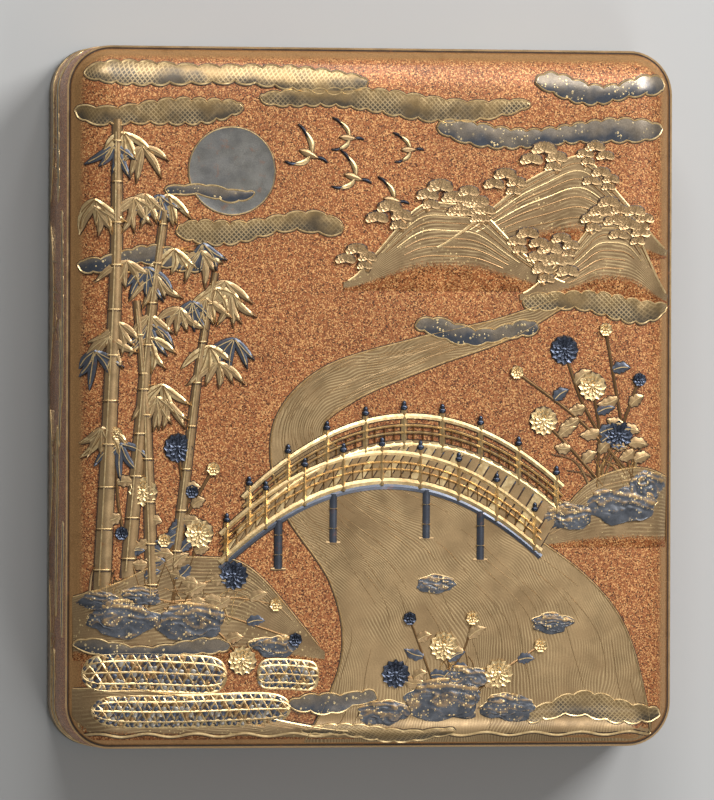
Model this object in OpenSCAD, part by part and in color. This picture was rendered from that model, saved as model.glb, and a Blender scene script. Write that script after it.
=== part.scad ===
// A lacquered writing box: a deep overhanging lid over a shallow case that holds
// an inkstone and a water dropper on a centre board, between two lift-out trays.
// Millimetres, +Z up, +Y towards the head of the box (the inkstone's well).
// The origin is the middle of the case's underside, where the box rests.

/* [Case] */
// Width of the closed box over the lid's sides
case_w = 220; // [214:1:240]
// Length of the closed box over the lid's ends
case_l = 249; // [240:1:270]
// Height of the case up to its metal rim, on which the lid rests
case_h = 40; // [36:0.5:48]
// Plan radius of the lid's corners
corner_r = 16; // [14:0.5:20]
// Thickness of the lid's side boards
skirt_t = 4; // [3:0.25:5]
// Thickness of the case's side boards
wall_t = 4; // [3:0.25:5]
// Thickness of the case's bottom board
floor_t = 4; // [3:0.25:6]
// Gap between the lid's lower edge and the table
finger_gap = 2.5; // [1:0.25:6]
// Height of the metal strip on each rim
rim_h = 2.5; // [1.5:0.25:4]

/* [Crown] */
// Width of the flat ledge around the crowned lid panel
ledge_w = 1.5; // [1:0.25:2.5]
// Plan width of the lid's rounded shoulder
shoulder_w = 14; // [10:0.5:14]
// Height of the rounded shoulder above the ledge
shoulder_h = 7.5; // [5:0.25:9]
// Further rise of the crown from the shoulder to the middle
crown_h = 2.5; // [0.5:0.25:5]
// Thickness of the crowned panel
panel_t = 4; // [3:0.25:5]

/* [Fits] */
// Gap between the lid's sides and the case's sides
lid_gap = 0.5; // [0.3:0.05:1]
// Gap around each lift-out piece
lift_gap = 0.5; // [0.3:0.05:1]
// Radial gap of a cap or sheath on what it covers
cap_gap = 0.08; // [0.05:0.01:0.1]
// Gap under pieces that lie loose or are inlaid on a curved face
rest_gap = 0.1; // [0.05:0.05:0.2]

/* [Trays] */
// Width of each side tray
tray_w = 46; // [44:0.5:47]
// Height of each side tray with its rim
tray_h = 24; // [20:0.5:28]
// Thickness of a tray's walls
tray_wall_t = 2.5; // [2:0.25:3]
// Thickness of a tray's floor
tray_floor_t = 2.5; // [2:0.25:4]
// Height of the metal edging on a tray
tray_rim_h = 1; // [0.6:0.1:1.5]

/* [Centre board] */
// Thickness of the board that holds the inkstone and the dropper
board_t = 6; // [4:0.5:9]
// Distance from the board's foot end to the inkstone
stone_margin = 9; // [6:0.5:12]
// Distance from the inkstone to the dropper
dropper_margin = 9; // [6:0.5:12]
// Distance from the dropper to the board's head end
head_margin = 16; // [6:0.5:18]
// Width of the board on each side of the inkstone
stone_side = 10.5; // [8:0.5:16]

/* [Inkstone] */
// Height of the inkstone
stone_h = 20; // [16:0.5:24]
// Width of the raised border around the grinding face
stone_border = 6; // [4:0.5:8]
// Depth of the grinding face below the border
land_depth = 2.5; // [1.5:0.25:4]
// Depth of the ink well below the border
well_depth = 11; // [8:0.5:12]
// Length of the flat bottom of the ink well
well_l = 22; // [15:1:30]
// Length of the slope from the grinding face into the well
slope_l = 16; // [10:1:24]

/* [Water dropper] */
// Radius of the water dropper
dropper_r = 28; // [22:0.5:29]
// Height of the water dropper without its spout
dropper_h = 18; // [14:0.5:22]
// Wall thickness of the metal water dropper
dropper_wall_t = 1.2; // [0.8:0.1:2]
// Radius of the two holes in the dropper's cover
drop_hole_r = 1.4; // [1:0.1:1.6]

/* [Brushes] */
// Length of a brush's bamboo handle
brush_handle_l = 122; // [100:1:126]
// Radius of a brush's bamboo handle
brush_handle_r = 4.2; // [3.5:0.1:4.6]
// Length of the hair that shows
brush_hair_l = 32; // [24:1:36]
// Length of a brush's cap
brush_cap_l = 54; // [52:1:58]
// Wall thickness of a brush's cap
brush_cap_wall_t = 1; // [0.8:0.1:1.4]

/* [Knife and awl] */
// Length of the knife's and the awl's handles
tool_handle_l = 98; // [80:1:100]
// Width of the knife's handle and sheath
knife_w = 10; // [8:0.5:10.5]
// Thickness of the knife's handle and sheath
knife_t = 7; // [6:0.5:8]
// Length of the knife's blade
blade_l = 46; // [36:1:48]
// Width of the knife's blade
blade_w = 6.4; // [5:0.2:6.6]
// Thickness of the knife's blade
blade_t = 1.2; // [0.8:0.1:1.6]
// Radius of the awl's handle and sheath
awl_r = 4.5; // [4:0.1:4.8]
// Length of the awl's point
awl_point_l = 38; // [30:1:42]
// Radius of the awl's point at its root
awl_point_r = 1.3; // [1:0.1:1.6]

/* [Ink stick] */
// Length of the split holder that grips the ink stick
holder_l = 110; // [90:1:116]
// Width of the split holder
holder_w = 12; // [11:0.5:12.5]
// Thickness of the split holder
holder_t = 9; // [8:0.5:10]
// Length of the ink stick
stick_l = 56; // [44:1:60]
// Width of the ink stick
stick_w = 9; // [7:0.5:9.5]
// Thickness of the ink stick
stick_t = 4.4; // [3.6:0.2:5]

/* [Inlaid flowers] */
// Radius of a fully open inlaid flower
flower_r = 5.2; // [4:0.1:6]
// Radius of an inlaid bud
bud_r = 2.4; // [1.6:0.1:3]
// Thickness of the inlaid metal
inlay_t = 0.7; // [0.5:0.1:1.2]

/* [Raised lacquer] */
// Height of the raised hills and mist over the panel
relief_low = 0.5; // [0.35:0.05:0.6]
// Height of the raised bamboo, baskets and rocks over the panel
relief_high = 1.1; // [0.6:0.05:1.2]
// Height of the bridge's railings over the panel
relief_top = 1.45; // [1:0.05:1.6]

/* [Hidden] */
$fn = 96;

// Lacquer, metal and stone colours
nashiji = "#B0703A";
pale_gold = "#B79A63";
bright_gold = "#E3CF8F";
blued_silver = "#3C4656";
rim_metal = "#8A8578";
slate = "#33353A";
bamboo = "#A98A52";
steel = "#9EA3A8";

// Plan sizes of the shells, from the outside in
base_w = case_w - 2 * (skirt_t + lid_gap);
base_l = case_l - 2 * (skirt_t + lid_gap);
base_r = corner_r - skirt_t - lid_gap;
inner_w = base_w - 2 * wall_t;
inner_l = base_l - 2 * wall_t;
inner_r = base_r - wall_t;

// Crowned panel: its half sizes and corner radius inside the ledge
panel_a = case_w / 2 - ledge_w;
panel_b = case_l / 2 - ledge_w;
panel_r = corner_r - ledge_w;
shoulder_r = (shoulder_w * shoulder_w + shoulder_h * shoulder_h) / (2 * shoulder_h);
// Flat band under the panel that bears on the skirt and on the case's rim
band_w = skirt_t - ledge_w + lid_gap + wall_t + 0.5;
dish_w = 8;
arc_steps = 7;
side_steps = 8;
plateau_steps = 6;

// Lift-out pieces
tray_l = inner_l - 2 * lift_gap;
tray_x = inner_w / 2 - lift_gap - tray_w / 2;
tray_r = inner_r - lift_gap;
tray_floor_z = floor_t + tray_floor_t;
tray_foot_y = -tray_l / 2 + tray_wall_t;
tool_margin = 2;
tool_foot_y = tray_foot_y + tool_margin;
board_w = inner_w - 2 * tray_w - 4 * lift_gap;
board_l = tray_l;
stone_w = board_w - 2 * stone_side;
stone_l = board_l - stone_margin - dropper_margin - head_margin - 2 * dropper_r;
stone_y = -board_l / 2 + stone_margin + stone_l / 2;
stone_r = 5;
dropper_y = stone_y + stone_l / 2 + dropper_margin + dropper_r;

// Brushes, side by side on the left tray's floor
ferrule_wall = 0.4;
ferrule_r = brush_handle_r + ferrule_wall;
ferrule_l = 12;
ferrule_show = 3;
hair_r = ferrule_r - 0.6;
cap_bore_r = ferrule_r + cap_gap;
brush_cap_r = cap_bore_r + brush_cap_wall_t;
brush_z = tray_floor_z + brush_cap_r + rest_gap;
brush_spacing = 19;
brush_x = [-tray_x - brush_spacing / 2, -tray_x + brush_spacing / 2];

// Knife, awl and ink stick, side by side in the right tray
lane = 13.2;
ring_wall = 0.8;
ring_l = 7;
knife_x = tray_x - lane;
awl_x = tray_x;
holder_x = tray_x + lane;
collar_l = 4;
collar_step = 0.4;
knife_z = tray_floor_z + knife_t / 2 + rest_gap;
awl_z = tray_floor_z + awl_r + rest_gap;
holder_z = tray_floor_z + holder_t / 2 + ring_wall + rest_gap;
sheath_end_t = 4;
slot_gap = 0.25;
jaw_l = 34;
stick_grip = 26;

// Inlaid metal flowers on the lid, in hundredths of the panel's half width and half length
gold_flowers = [[-77, -27], [-58.5, -39], [-44, -75.5], [23, -71.5], [41.5, -79.5], [72.5, 3.5], [56, -6.5]];
gold_buds = [
    [-86, -10.5], [-54, -20.5], [-70, -41], [-33, -59.5], [32.5, -63.5], [55.5, -71.5], [77, 20], [47, 7.5]
];
silver_flowers = [[-65.5, -14.5], [-47, -51], [7, -79.5], [81.5, -10.5], [63, 14]];
silver_buds = [[-84, -39], [-61, -27], [-26.5, -69.5], [11.5, -63.5], [88.5, 5.5]];
petals = 8;
petal_share = 0.36;

// ---- outlines ----

module rounded(w, l, r) {
    square([w - 2 * r, l], center = true);
    square([w, l - 2 * r], center = true);
    for (sx = [-1, 1], sy = [-1, 1])
        translate([sx * (w / 2 - r), sy * (l / 2 - r)]) circle(r = r);
}

module ring(w, l, r, t) {
    difference() {
        rounded(w, l, r);
        rounded(w - 2 * t, l - 2 * t, r - t);
    }
}

// ---- crowned panel ----

// Distance of a point inside the panel's edge
function inset(x, y) =
    let (qx = abs(x) - panel_a + panel_r, qy = abs(y) - panel_b + panel_r)
    panel_r - norm([max(qx, 0), max(qy, 0)]) - min(max(qx, qy), 0);

// A quarter-like arc that rises from 0 to 1 as s goes from 0 to 1
function arc_rise(s) =
    let (u = 1 - min(max(s, 0), 1), k = shoulder_w / shoulder_r)
    (sqrt(1 - k * k * u * u) - sqrt(1 - k * k)) / (1 - sqrt(1 - k * k));

function crown(x, y) = crown_h * (1 - pow(x / panel_a, 2)) * (1 - pow(y / panel_b, 2));

// Height of the lid's outer face over the table
function lid_top(x, y) =
    case_h + shoulder_h * arc_rise(inset(x, y) / shoulder_w) + crown(x, y);

// Height of the lid's ceiling: a flat band at its edge, then a dish that follows the crown
function lid_ceiling(x, y) =
    let (s = (inset(x, y) - band_w) / dish_w)
    case_h + arc_rise(s) * (shoulder_h - panel_t) + min(max(s, 0), 1) * crown(x, y);

// One closed line of points around a rounded rectangle
function loop(a, b, r) = [
    for (k = [0:3])
        let (
            sx = (k == 0 || k == 3) ? 1 : -1,
            sy = k < 2 ? 1 : -1,
            c = [sx * (a - r), sy * (b - r)],
            along = (k % 2 == 0) ? [-sx, 0] : [0, -sy],
            run = 2 * ((k % 2 == 0) ? a - r : b - r),
            start = c + r * ((k % 2 == 0) ? [0, sy] : [sx, 0])
        )
        each concat(
            [for (i = [0:arc_steps]) c + r * [cos(90 * (k + i / arc_steps)), sin(90 * (k + i / arc_steps))]],
            [for (i = [1:side_steps - 1]) start + along * run * i / side_steps]
        )
];

loop_count = 4 * (arc_steps + side_steps);
shoulder_steps = [0, 0.035, 0.085, 0.17, 0.285, 0.43, 0.61, 0.79, 1];
edge_shrink = 0.6;
inner_corner_r = panel_r - edge_shrink * shoulder_w;

// Loops from the panel's edge in to the shoulder's top
function shoulder_loop(d) = loop(panel_a - d, panel_b - d, panel_r - edge_shrink * d);

// Loops from the shoulder's top in to the middle, t from 1 to near 0
function plateau_loop(t) =
    loop((panel_a - shoulder_w) * t, (panel_b - shoulder_w) * t,
         inner_corner_r + (0.9 * panel_a - shoulder_w - inner_corner_r) * t * (1 - t));

module lid_panel() {
    plateau = [for (i = [plateau_steps - 1:-1:1]) i / plateau_steps];
    under_d = [band_w, band_w + 0.25 * dish_w, band_w + 0.6 * dish_w, band_w + dish_w];
    top_loops = concat(
        [for (s = shoulder_steps) shoulder_loop(s * shoulder_w)],
        [for (t = plateau) plateau_loop(t)]
    );
    under_loops = concat(
        [for (i = [1:plateau_steps - 2]) plateau_loop(i / plateau_steps)],
        [for (i = [3:-1:0]) shoulder_loop(under_d[i])]
    );
    n = loop_count;
    top_count = len(top_loops);
    under_count = len(under_loops);
    rings = top_count + under_count;
    points = concat(
        [for (l = top_loops, p = l) [p.x, p.y, lid_top(p.x, p.y)]],
        [for (l = under_loops, p = l) [p.x, p.y, lid_ceiling(p.x, p.y)]],
        [[0, 0, lid_top(0, 0)], [0, 0, lid_ceiling(0, 0)]]
    );
    apex = rings * n;
    nadir = apex + 1;
    // Two triangles between ring i and ring j at step k
    function band(i, j) = [
        for (k = [0:n - 1])
            let (m = (k + 1) % n)
            each [[j * n + k, i * n + m, i * n + k], [j * n + k, j * n + m, i * n + m]]
    ];
    color(pale_gold)
        polyhedron(
            points = points,
            faces = concat(
                [for (i = [0:top_count - 2]) each band(i, i + 1)],
                [for (k = [0:n - 1]) [apex, (top_count - 1) * n + (k + 1) % n, (top_count - 1) * n + k]],
                [for (k = [0:n - 1]) [nadir, top_count * n + k, top_count * n + (k + 1) % n]],
                [for (i = [top_count:rings - 2]) each band(i, i + 1)],
                band(rings - 1, 0)
            ),
            convexity = 4
        );
}

// ---- lid ----

module lid_skirt() {
    color(nashiji)
        translate([0, 0, finger_gap + rim_h])
            linear_extrude(case_h - finger_gap - rim_h) ring(case_w, case_l, corner_r, skirt_t);
}

module lid_rim() {
    color(rim_metal)
        translate([0, 0, finger_gap]) linear_extrude(rim_h) ring(case_w, case_l, corner_r, skirt_t);
}

// A flower cut from sheet metal: a ring of round petals and a raised middle
module flower(r) {
    petal_r = r * petal_share;
    linear_extrude(inlay_t) {
        circle(r = r - petal_r);
        for (i = [0:petals - 1])
            rotate(360 * i / petals) translate([r - petal_r, 0]) circle(r = petal_r);
    }
    cylinder(h = 2 * inlay_t, r = r * petal_share);
}

// A place on the panel, given in hundredths of its half width and half length
function spot(p) = [panel_a * p.x / 100, panel_b * p.y / 100];

// Seats a flower on the crown: its flat back clears the highest point under it
module on_crown(place, r) {
    p = spot(place);
    seat = max([for (a = [0:45:315]) lid_top(p.x + r * cos(a), p.y + r * sin(a))]);
    translate([p.x, p.y, max(seat, lid_top(p.x, p.y)) + rest_gap]) children();
}

module flowers(open, closed) {
    for (p = open) on_crown(p, flower_r) flower(flower_r);
    for (p = closed) on_crown(p, bud_r) flower(bud_r);
}

module lid_flowers_gold() {
    color(bright_gold) flowers(gold_flowers, gold_buds);
}

module lid_flowers_silver() {
    color(blued_silver) flowers(silver_flowers, silver_buds);
}

// ---- raised lacquer: each form lies on the crown, its underside just clear of it ----

// Clearance under a form, and the places across the panel, in hundredths of its half width,
// where the forms have their stations: close together where the shoulders fall away
relief_gap = 0.15;
relief_places = [
    -96, -94, -92, -90, -87.5, -85, -76, -67, -58, -49, -40, -31, -22, -13, -4, 5, 14, 23, 32, 41, 50,
    59, 68, 76, 85, 87.5, 90, 92, 94, 96
];

function over(p, h) = [p.x, p.y, lid_top(p.x, p.y) + h];

function places(from_x, to_x) = concat(
    [from_x], [for (x = relief_places) if (x > from_x + 1.2 && x < to_x - 1.2) x], [to_x]
);

// Rows of points side by side from one row to the other
function rows(one, other, cuts) = [for (c = [0:cuts]) one + (other - one) * c / cuts];

// A raised form over rows of points that run side by side, each row with its own height
module raised(lines, heights) {
    r = len(lines);
    n = len(lines[0]);
    points = [
        for (i = [0:n - 1])
            each concat(
                [for (k = [0:r - 1]) over(lines[k][i], heights[k])],
                [for (k = [0:r - 1]) over(lines[k][i], relief_gap)]
            )
    ];
    function top(k, i) = i * 2 * r + k;
    function low(k, i) = top(k, i) + r;
    function pair(a, b, c, d) = [[a, b, c], [a, c, d]];
    polyhedron(
        points = points,
        faces = [
            for (i = [0:n - 2]) each concat(
                [for (k = [0:r - 2]) each pair(top(k, i), top(k + 1, i), top(k + 1, i + 1), top(k, i + 1))],
                [for (k = [0:r - 2]) each pair(low(k, i), low(k, i + 1), low(k + 1, i + 1), low(k + 1, i))],
                pair(low(0, i), top(0, i), top(0, i + 1), low(0, i + 1)),
                pair(low(r - 1, i + 1), top(r - 1, i + 1), top(r - 1, i), low(r - 1, i))
            ),
            for (k = [0:r - 2]) each pair(top(k + 1, 0), top(k, 0), low(k, 0), low(k + 1, 0)),
            for (k = [0:r - 2]) each pair(top(k, n - 1), top(k + 1, n - 1), low(k + 1, n - 1), low(k, n - 1))
        ],
        convexity = 4
    );
}

// A long form along the panel's width, in hundredths: from end to end, its middle line and its
// half width; ends_round from 2, pointed, to 8, square
module drift(from_x, to_x, y, half, h, ends_round, cuts) {
    xs = places(from_x, to_x);
    function side(sign) = [
        for (x = xs)
            let (t = (x - from_x) / (to_x - from_x), taper = pow(max(1 - pow(abs(2 * t - 1), ends_round), 0.08), 0.5))
            spot([x, y + sign * half * taper])
    ];
    raised(rows(side(-1), side(1), cuts), [for (c = [0:cuts]) h * (0.6 + 0.4 * sin(180 * c / cuts))]);
}

// Hills: left end, right end, foot, top, where the summit is, steepness
hill_rows = [
    [-11, 64.5, 32.5, 56, 0.42, 0.85], [48, 98, 33.5, 51, 0.66, 0.8], [18.5, 98, 42.5, 66.5, 0.6, 0.75]
];

function ease(t) = let (c = min(max(t, 0), 1)) c * c * (3 - 2 * c);

function crest(hill, x) =
    let (u = (x - hill[0]) / (hill[1] - hill[0]), t = u < hill[4] ? u / hill[4] : (1 - u) / (1 - hill[4]))
    (u <= 0 || u >= 1) ? hill[2] - 5 : hill[2] + 1.5 + (hill[3] - hill[2]) * pow(ease(t), hill[5]);

// The part of a hill that the hills in front of it leave to be seen
module hill(hill, front, from_x, to_x) {
    xs = places(from_x, to_x);
    foot = [for (x = xs) spot([x, max([hill[2], for (f = front) crest(f, x) + 1])])];
    head = [for (x = xs) spot([x, crest(hill, x)])];
    raised(rows(foot, head, 3), [0.6, 0.8, 0.95, 1.15] * relief_low);
}

// Bridge: the place of its left foot, its length, its rise and how its far side is set off
bridge_foot = [-51.5, -46.5];
bridge_l = 107;
bridge_rise = 22;
bridge_far = [7.4, 10.6];
// Rows across the bridge from near to far: height over its deck, share of bridge_far, relief
bridge_rows = [
    [-3.4, 0, 0.4], [-2.6, 0, 0.7], [-0.3, 0, 0.7], [0, 0, 0.5], [6.1, 0, 0.5], [6.4, 0, 1], [7.7, 0, 1],
    [8, 0, 0.5], [2.4, 1, 0.5], [6, 1, 0.6], [6.3, 1, 0.95], [7.7, 1, 0.95]
];
// The bridge's legs: places along it
bridge_legs = [0.18, 0.35, 0.64, 0.81];
leg_l = 12.5;
leg_half = 1.2;

function deck(t, r) =
    spot(bridge_foot + [bridge_l * t, bridge_rise * 4 * t * (1 - t) + 3.3 * t + r[0]] + bridge_far * r[1]);

module bridge() {
    ts = [for (i = [0:13]) 0.06 + 0.92 * i / 13];
    raised(
        [for (r = bridge_rows) [for (t = ts) deck(t, r)]],
        [for (r = bridge_rows) r[2] * relief_top]
    );
}

module bridge_leg(t) {
    heads = [for (k = [1, 0, -1]) deck(t + k * leg_half / bridge_l, [-3.8, 0])];
    long = [0, panel_b * leg_l / 100];
    raised([for (h = heads) [h - long, h]], [relief_low, relief_high, relief_low]);
}

// A bamboo culm from foot to head, with its half width at the foot; it thins to the head
module culm(foot, head, half) {
    ts = [for (i = [0:6]) i / 6];
    function side(sign) = [
        for (t = ts) spot(foot + (head - foot) * t + [sign * half * (1 - 0.4 * t) + 0.6 * sin(180 * t), 0])
    ];
    raised(rows(side(1), side(-1), 2), [relief_low, relief_high, relief_low]);
}

module lid_relief_gold() {
    color(pale_gold) {
        hill(hill_rows[0], [hill_rows[1]], -10, 49.2);
        hill(hill_rows[1], [], 50, 95.5);
        hill(hill_rows[2], [hill_rows[0], hill_rows[1]], 37.5, 95.5);
        for (m = [[-37, 50, 85, 3.1, 2], [-92, -5, 92.2, 3.1, 4], [-94, -46, 82, 3.2, 2], [-64, -13, 48.5, 3, 2],
                  [50, 95, 27.2, 3, 2], [53.5, 92, -90.5, 3.2, 3]])
            drift(m[0], m[1], m[2], m[3], relief_low, 6, m[4]);
        bridge();
        culm([-89.5, -7], [-86, 76], 2.3);
        culm([-79.3, -20], [-70, 53], 1.9);
        culm([-61, -8], [-53.5, 36], 1.5);
        drift(-94, -51, -79.3, 5.1, relief_high, 8, 3);
        drift(-91, -30, -89.8, 4.3, relief_high, 8, 5);
    }
}

module lid_relief_silver() {
    moon_r = 14.3;
    function moon_side(sign) = [
        for (a = [15:15:165]) spot([-48, 65]) + panel_a * moon_r / 100 * [-cos(a), sign * sin(a)]
    ];
    color(blued_silver) {
        raised(rows(moon_side(-1), moon_side(1), 2), [1, 1, 1] * relief_low);
        for (m = [[55, 94, 90, 3, 3], [22, 94, 77, 3.1, 2], [15, 53, 19.5, 2.6, 2], [-27, -1, -87.5, 2.6, 2],
                  [-94, -49, -71.7, 1.9, 2]])
            drift(m[0], m[1], m[2], m[3], relief_low, 6, m[4]);
        for (m = [[-94, -72, -63.4, 4.6], [-70.5, -50, -64.3, 4.6], [72.5, 94.5, -31, 5], [57, 71.5, -34, 3.4],
                  [12.6, 36, -88, 5.2], [37.3, 52, -89.5, 3.8], [-3, 10.4, -91, 3], [53, 65.5, -65, 2.6]])
            drift(m[0], m[1], m[2], m[3], relief_high, 2.6, 4);
        for (t = bridge_legs) bridge_leg(t);
    }
}

// ---- case ----

module base_bottom() {
    color(nashiji) linear_extrude(floor_t) rounded(base_w, base_l, base_r);
}

module base_walls() {
    color(nashiji)
        translate([0, 0, floor_t])
            linear_extrude(case_h - floor_t - rim_h) ring(base_w, base_l, base_r, wall_t);
}

module base_rim() {
    color(rim_metal)
        translate([0, 0, case_h - rim_h]) linear_extrude(rim_h) ring(base_w, base_l, base_r, wall_t);
}

// ---- trays ----

module tray(x) {
    color(nashiji)
        translate([x, 0, floor_t]) {
            linear_extrude(tray_floor_t) rounded(tray_w, tray_l, tray_r);
            translate([0, 0, tray_floor_t])
                linear_extrude(tray_h - tray_floor_t - tray_rim_h) ring(tray_w, tray_l, tray_r, tray_wall_t);
        }
}

module tray_rim(x) {
    color(rim_metal)
        translate([x, 0, floor_t + tray_h - tray_rim_h])
            linear_extrude(tray_rim_h) ring(tray_w, tray_l, tray_r, tray_wall_t);
}

// ---- centre board with its two seats ----

module centre_board() {
    color(nashiji)
        translate([0, 0, floor_t])
            difference() {
                linear_extrude(board_t) rounded(board_w, board_l, tray_r);
                translate([0, stone_y, -1])
                    linear_extrude(board_t + 2)
                        rounded(stone_w + 2 * lift_gap, stone_l + 2 * lift_gap, stone_r + lift_gap);
                translate([0, dropper_y, -1]) cylinder(h = board_t + 2, r = dropper_r + lift_gap);
            }
}

// ---- inkstone: a bordered slab with a grinding face that runs down into a well ----

module inkstone() {
    half = stone_l / 2 - stone_border;
    well_foot = half - well_l;
    slope_foot = well_foot - slope_l;
    color(slate)
        translate([0, stone_y, floor_t])
            difference() {
                linear_extrude(stone_h) rounded(stone_w, stone_l, stone_r);
                intersection() {
                    linear_extrude(stone_h + 1)
                        rounded(stone_w - 2 * stone_border, stone_l - 2 * stone_border, stone_r);
                    rotate([90, 0, 90])
                        translate([0, 0, -stone_w / 2])
                            linear_extrude(stone_w)
                                polygon([
                                    [-half - 1, stone_h + 1], [-half - 1, stone_h - land_depth],
                                    [slope_foot, stone_h - land_depth - 1], [well_foot, stone_h - well_depth],
                                    [half + 1, stone_h - well_depth], [half + 1, stone_h + 1]
                                ]);
                }
            }
}

// ---- water dropper: a drum-shaped metal vessel with an air hole and a spout ----

dropper_base_r = dropper_r - 5;
cover_t = 1.4;
cover_lip = 2;
spout_h = 2.2;
spout_wall = 0.9;
spout_offset = dropper_r - 9;

module dropper_bowl() {
    wall = dropper_wall_t;
    side_h = dropper_h - cover_t;
    color(rim_metal)
        translate([0, dropper_y, floor_t])
            rotate_extrude()
                polygon([
                    [0, 0], [dropper_base_r, 0], [dropper_r, 5], [dropper_r, side_h - 3], [dropper_r - 2, side_h],
                    [dropper_r - cover_lip - wall, side_h], [dropper_r - wall, side_h - 3 - wall],
                    [dropper_r - wall, 5 + wall / 2], [dropper_base_r - wall / 2, wall], [0, wall]
                ]);
}

module dropper_cover() {
    color(pale_gold)
        translate([0, dropper_y, floor_t + dropper_h - cover_t])
            difference() {
                cylinder(h = cover_t, r = dropper_r - cover_lip);
                translate([0, 0, -1]) cylinder(h = cover_t + 2, r = drop_hole_r);
                translate([0, -spout_offset, -1]) cylinder(h = cover_t + 2, r = drop_hole_r);
            }
}

module dropper_spout() {
    color(bright_gold)
        translate([0, dropper_y - spout_offset, floor_t + dropper_h])
            difference() {
                cylinder(h = spout_h, r1 = drop_hole_r + 2 * spout_wall, r2 = drop_hole_r + spout_wall);
                translate([0, 0, -1]) cylinder(h = spout_h + 2, r = drop_hole_r);
            }
}

// ---- brushes: bamboo handle, ferrule, hair and a cap that pulls off towards +Y ----

cap_mouth_y = tool_foot_y + brush_handle_l + ferrule_show;
cap_depth = brush_cap_l - 4;
handle_joints = [0.3, 0.66];

// Turns a profile drawn along +Z to lie along +Y at a brush's place
module along_y(x, y, z) {
    translate([x, y, z]) rotate([-90, 0, 0]) children();
}

module brush_handle(i) {
    color(bamboo)
        along_y(brush_x[i], tool_foot_y, brush_z) {
            cylinder(h = brush_handle_l, r = brush_handle_r);
            for (s = handle_joints)
                translate([0, 0, brush_handle_l * s])
                    rotate_extrude()
                        polygon([[0, -2.4], [brush_handle_r - 0.1, -2.4], [brush_handle_r + 0.35, -0.5],
                                 [brush_handle_r + 0.35, 0.5], [brush_handle_r - 0.1, 2.4], [0, 2.4]]);
        }
}

module brush_ferrule(i) {
    color(bright_gold)
        along_y(brush_x[i], tool_foot_y + brush_handle_l, brush_z) cylinder(h = ferrule_l, r = ferrule_r);
}

module brush_hair(i) {
    color("#D8C9A6")
        along_y(brush_x[i], tool_foot_y + brush_handle_l + ferrule_l, brush_z)
            rotate_extrude()
                polygon([
                    [0, 0], [hair_r - 0.6, 0],
                    for (s = [0.1:0.1:0.9]) [hair_r * sqrt(1 - pow(s, 2.4)) * (1 - 0.25 * s), brush_hair_l * s],
                    [0.35, brush_hair_l], [0, brush_hair_l]
                ]);
}

module brush_cap(i) {
    color(nashiji)
        along_y(brush_x[i], cap_mouth_y, brush_z)
            difference() {
                cylinder(h = brush_cap_l, r = brush_cap_r);
                translate([0, 0, -1]) cylinder(h = cap_depth + 1, r = cap_bore_r);
            }
}

// ---- knife: a flat oval handle with a metal collar, a blade and a sheath ----

knife_mouth_y = tool_foot_y + tool_handle_l;
sheath_y = knife_mouth_y + collar_l;
sheath_l = blade_l + sheath_end_t;

module flat_oval(w, t) {
    square([w - t, t], center = true);
    for (s = [-1, 1]) translate([s * (w - t) / 2, 0]) circle(d = t);
}

module knife_handle() {
    color(nashiji)
        along_y(knife_x, tool_foot_y, knife_z) linear_extrude(tool_handle_l) flat_oval(knife_w, knife_t);
}

module knife_collar() {
    color(bright_gold)
        along_y(knife_x, knife_mouth_y, knife_z)
            linear_extrude(collar_l) flat_oval(knife_w - 2 * collar_step, knife_t - 2 * collar_step);
}

module knife_blade() {
    color(steel)
        translate([knife_x, sheath_y, knife_z - blade_t / 2])
            linear_extrude(blade_t)
                polygon([
                    [-blade_w / 2, 0], [blade_w / 2, 0], [blade_w / 2, blade_l - 1.6 * blade_w],
                    [-blade_w / 2, blade_l - 0.6]
                ]);
}

module knife_sheath() {
    color(nashiji)
        along_y(knife_x, sheath_y + slot_gap, knife_z)
            difference() {
                linear_extrude(sheath_l) flat_oval(knife_w, knife_t);
                translate([0, 0, -1])
                    linear_extrude(blade_l + 1)
                        square([blade_w + 2 * slot_gap, blade_t + 2 * slot_gap], center = true);
            }
}

// ---- awl: a round handle with a metal collar, a point and a sheath ----

awl_mouth_y = tool_foot_y + tool_handle_l;
awl_sheath_y = awl_mouth_y + collar_l;
awl_sheath_l = awl_point_l + sheath_end_t;

module awl_handle() {
    color(nashiji) along_y(awl_x, tool_foot_y, awl_z) cylinder(h = tool_handle_l, r = awl_r);
}

module awl_collar() {
    color(bright_gold) along_y(awl_x, awl_mouth_y, awl_z) cylinder(h = collar_l, r = awl_r - collar_step);
}

module awl_point() {
    color(steel)
        along_y(awl_x, awl_sheath_y, awl_z) {
            cylinder(h = awl_point_l / 3, r = awl_point_r);
            translate([0, 0, awl_point_l / 3]) cylinder(h = awl_point_l * 2 / 3, r1 = awl_point_r, r2 = 0.15);
        }
}

module awl_sheath() {
    color(nashiji)
        along_y(awl_x, awl_sheath_y + slot_gap, awl_z)
            difference() {
                cylinder(h = awl_sheath_l, r = awl_r);
                translate([0, 0, -1]) cylinder(h = awl_point_l + 1, r = awl_point_r + slot_gap);
            }
}

// ---- ink stick in its split holder, clamped by a sliding ring ----

holder_mouth_y = tool_foot_y + holder_l;
stick_y = holder_mouth_y - stick_grip;
ring_y = holder_mouth_y - ring_l - 3;

module ink_holder() {
    color(nashiji)
        along_y(holder_x, tool_foot_y, holder_z)
            difference() {
                linear_extrude(holder_l) rounded(holder_w, holder_t, 2.5);
                translate([0, 0, holder_l - jaw_l])
                    linear_extrude(jaw_l + 1) square([holder_w + 1, stick_t], center = true);
            }
}

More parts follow.
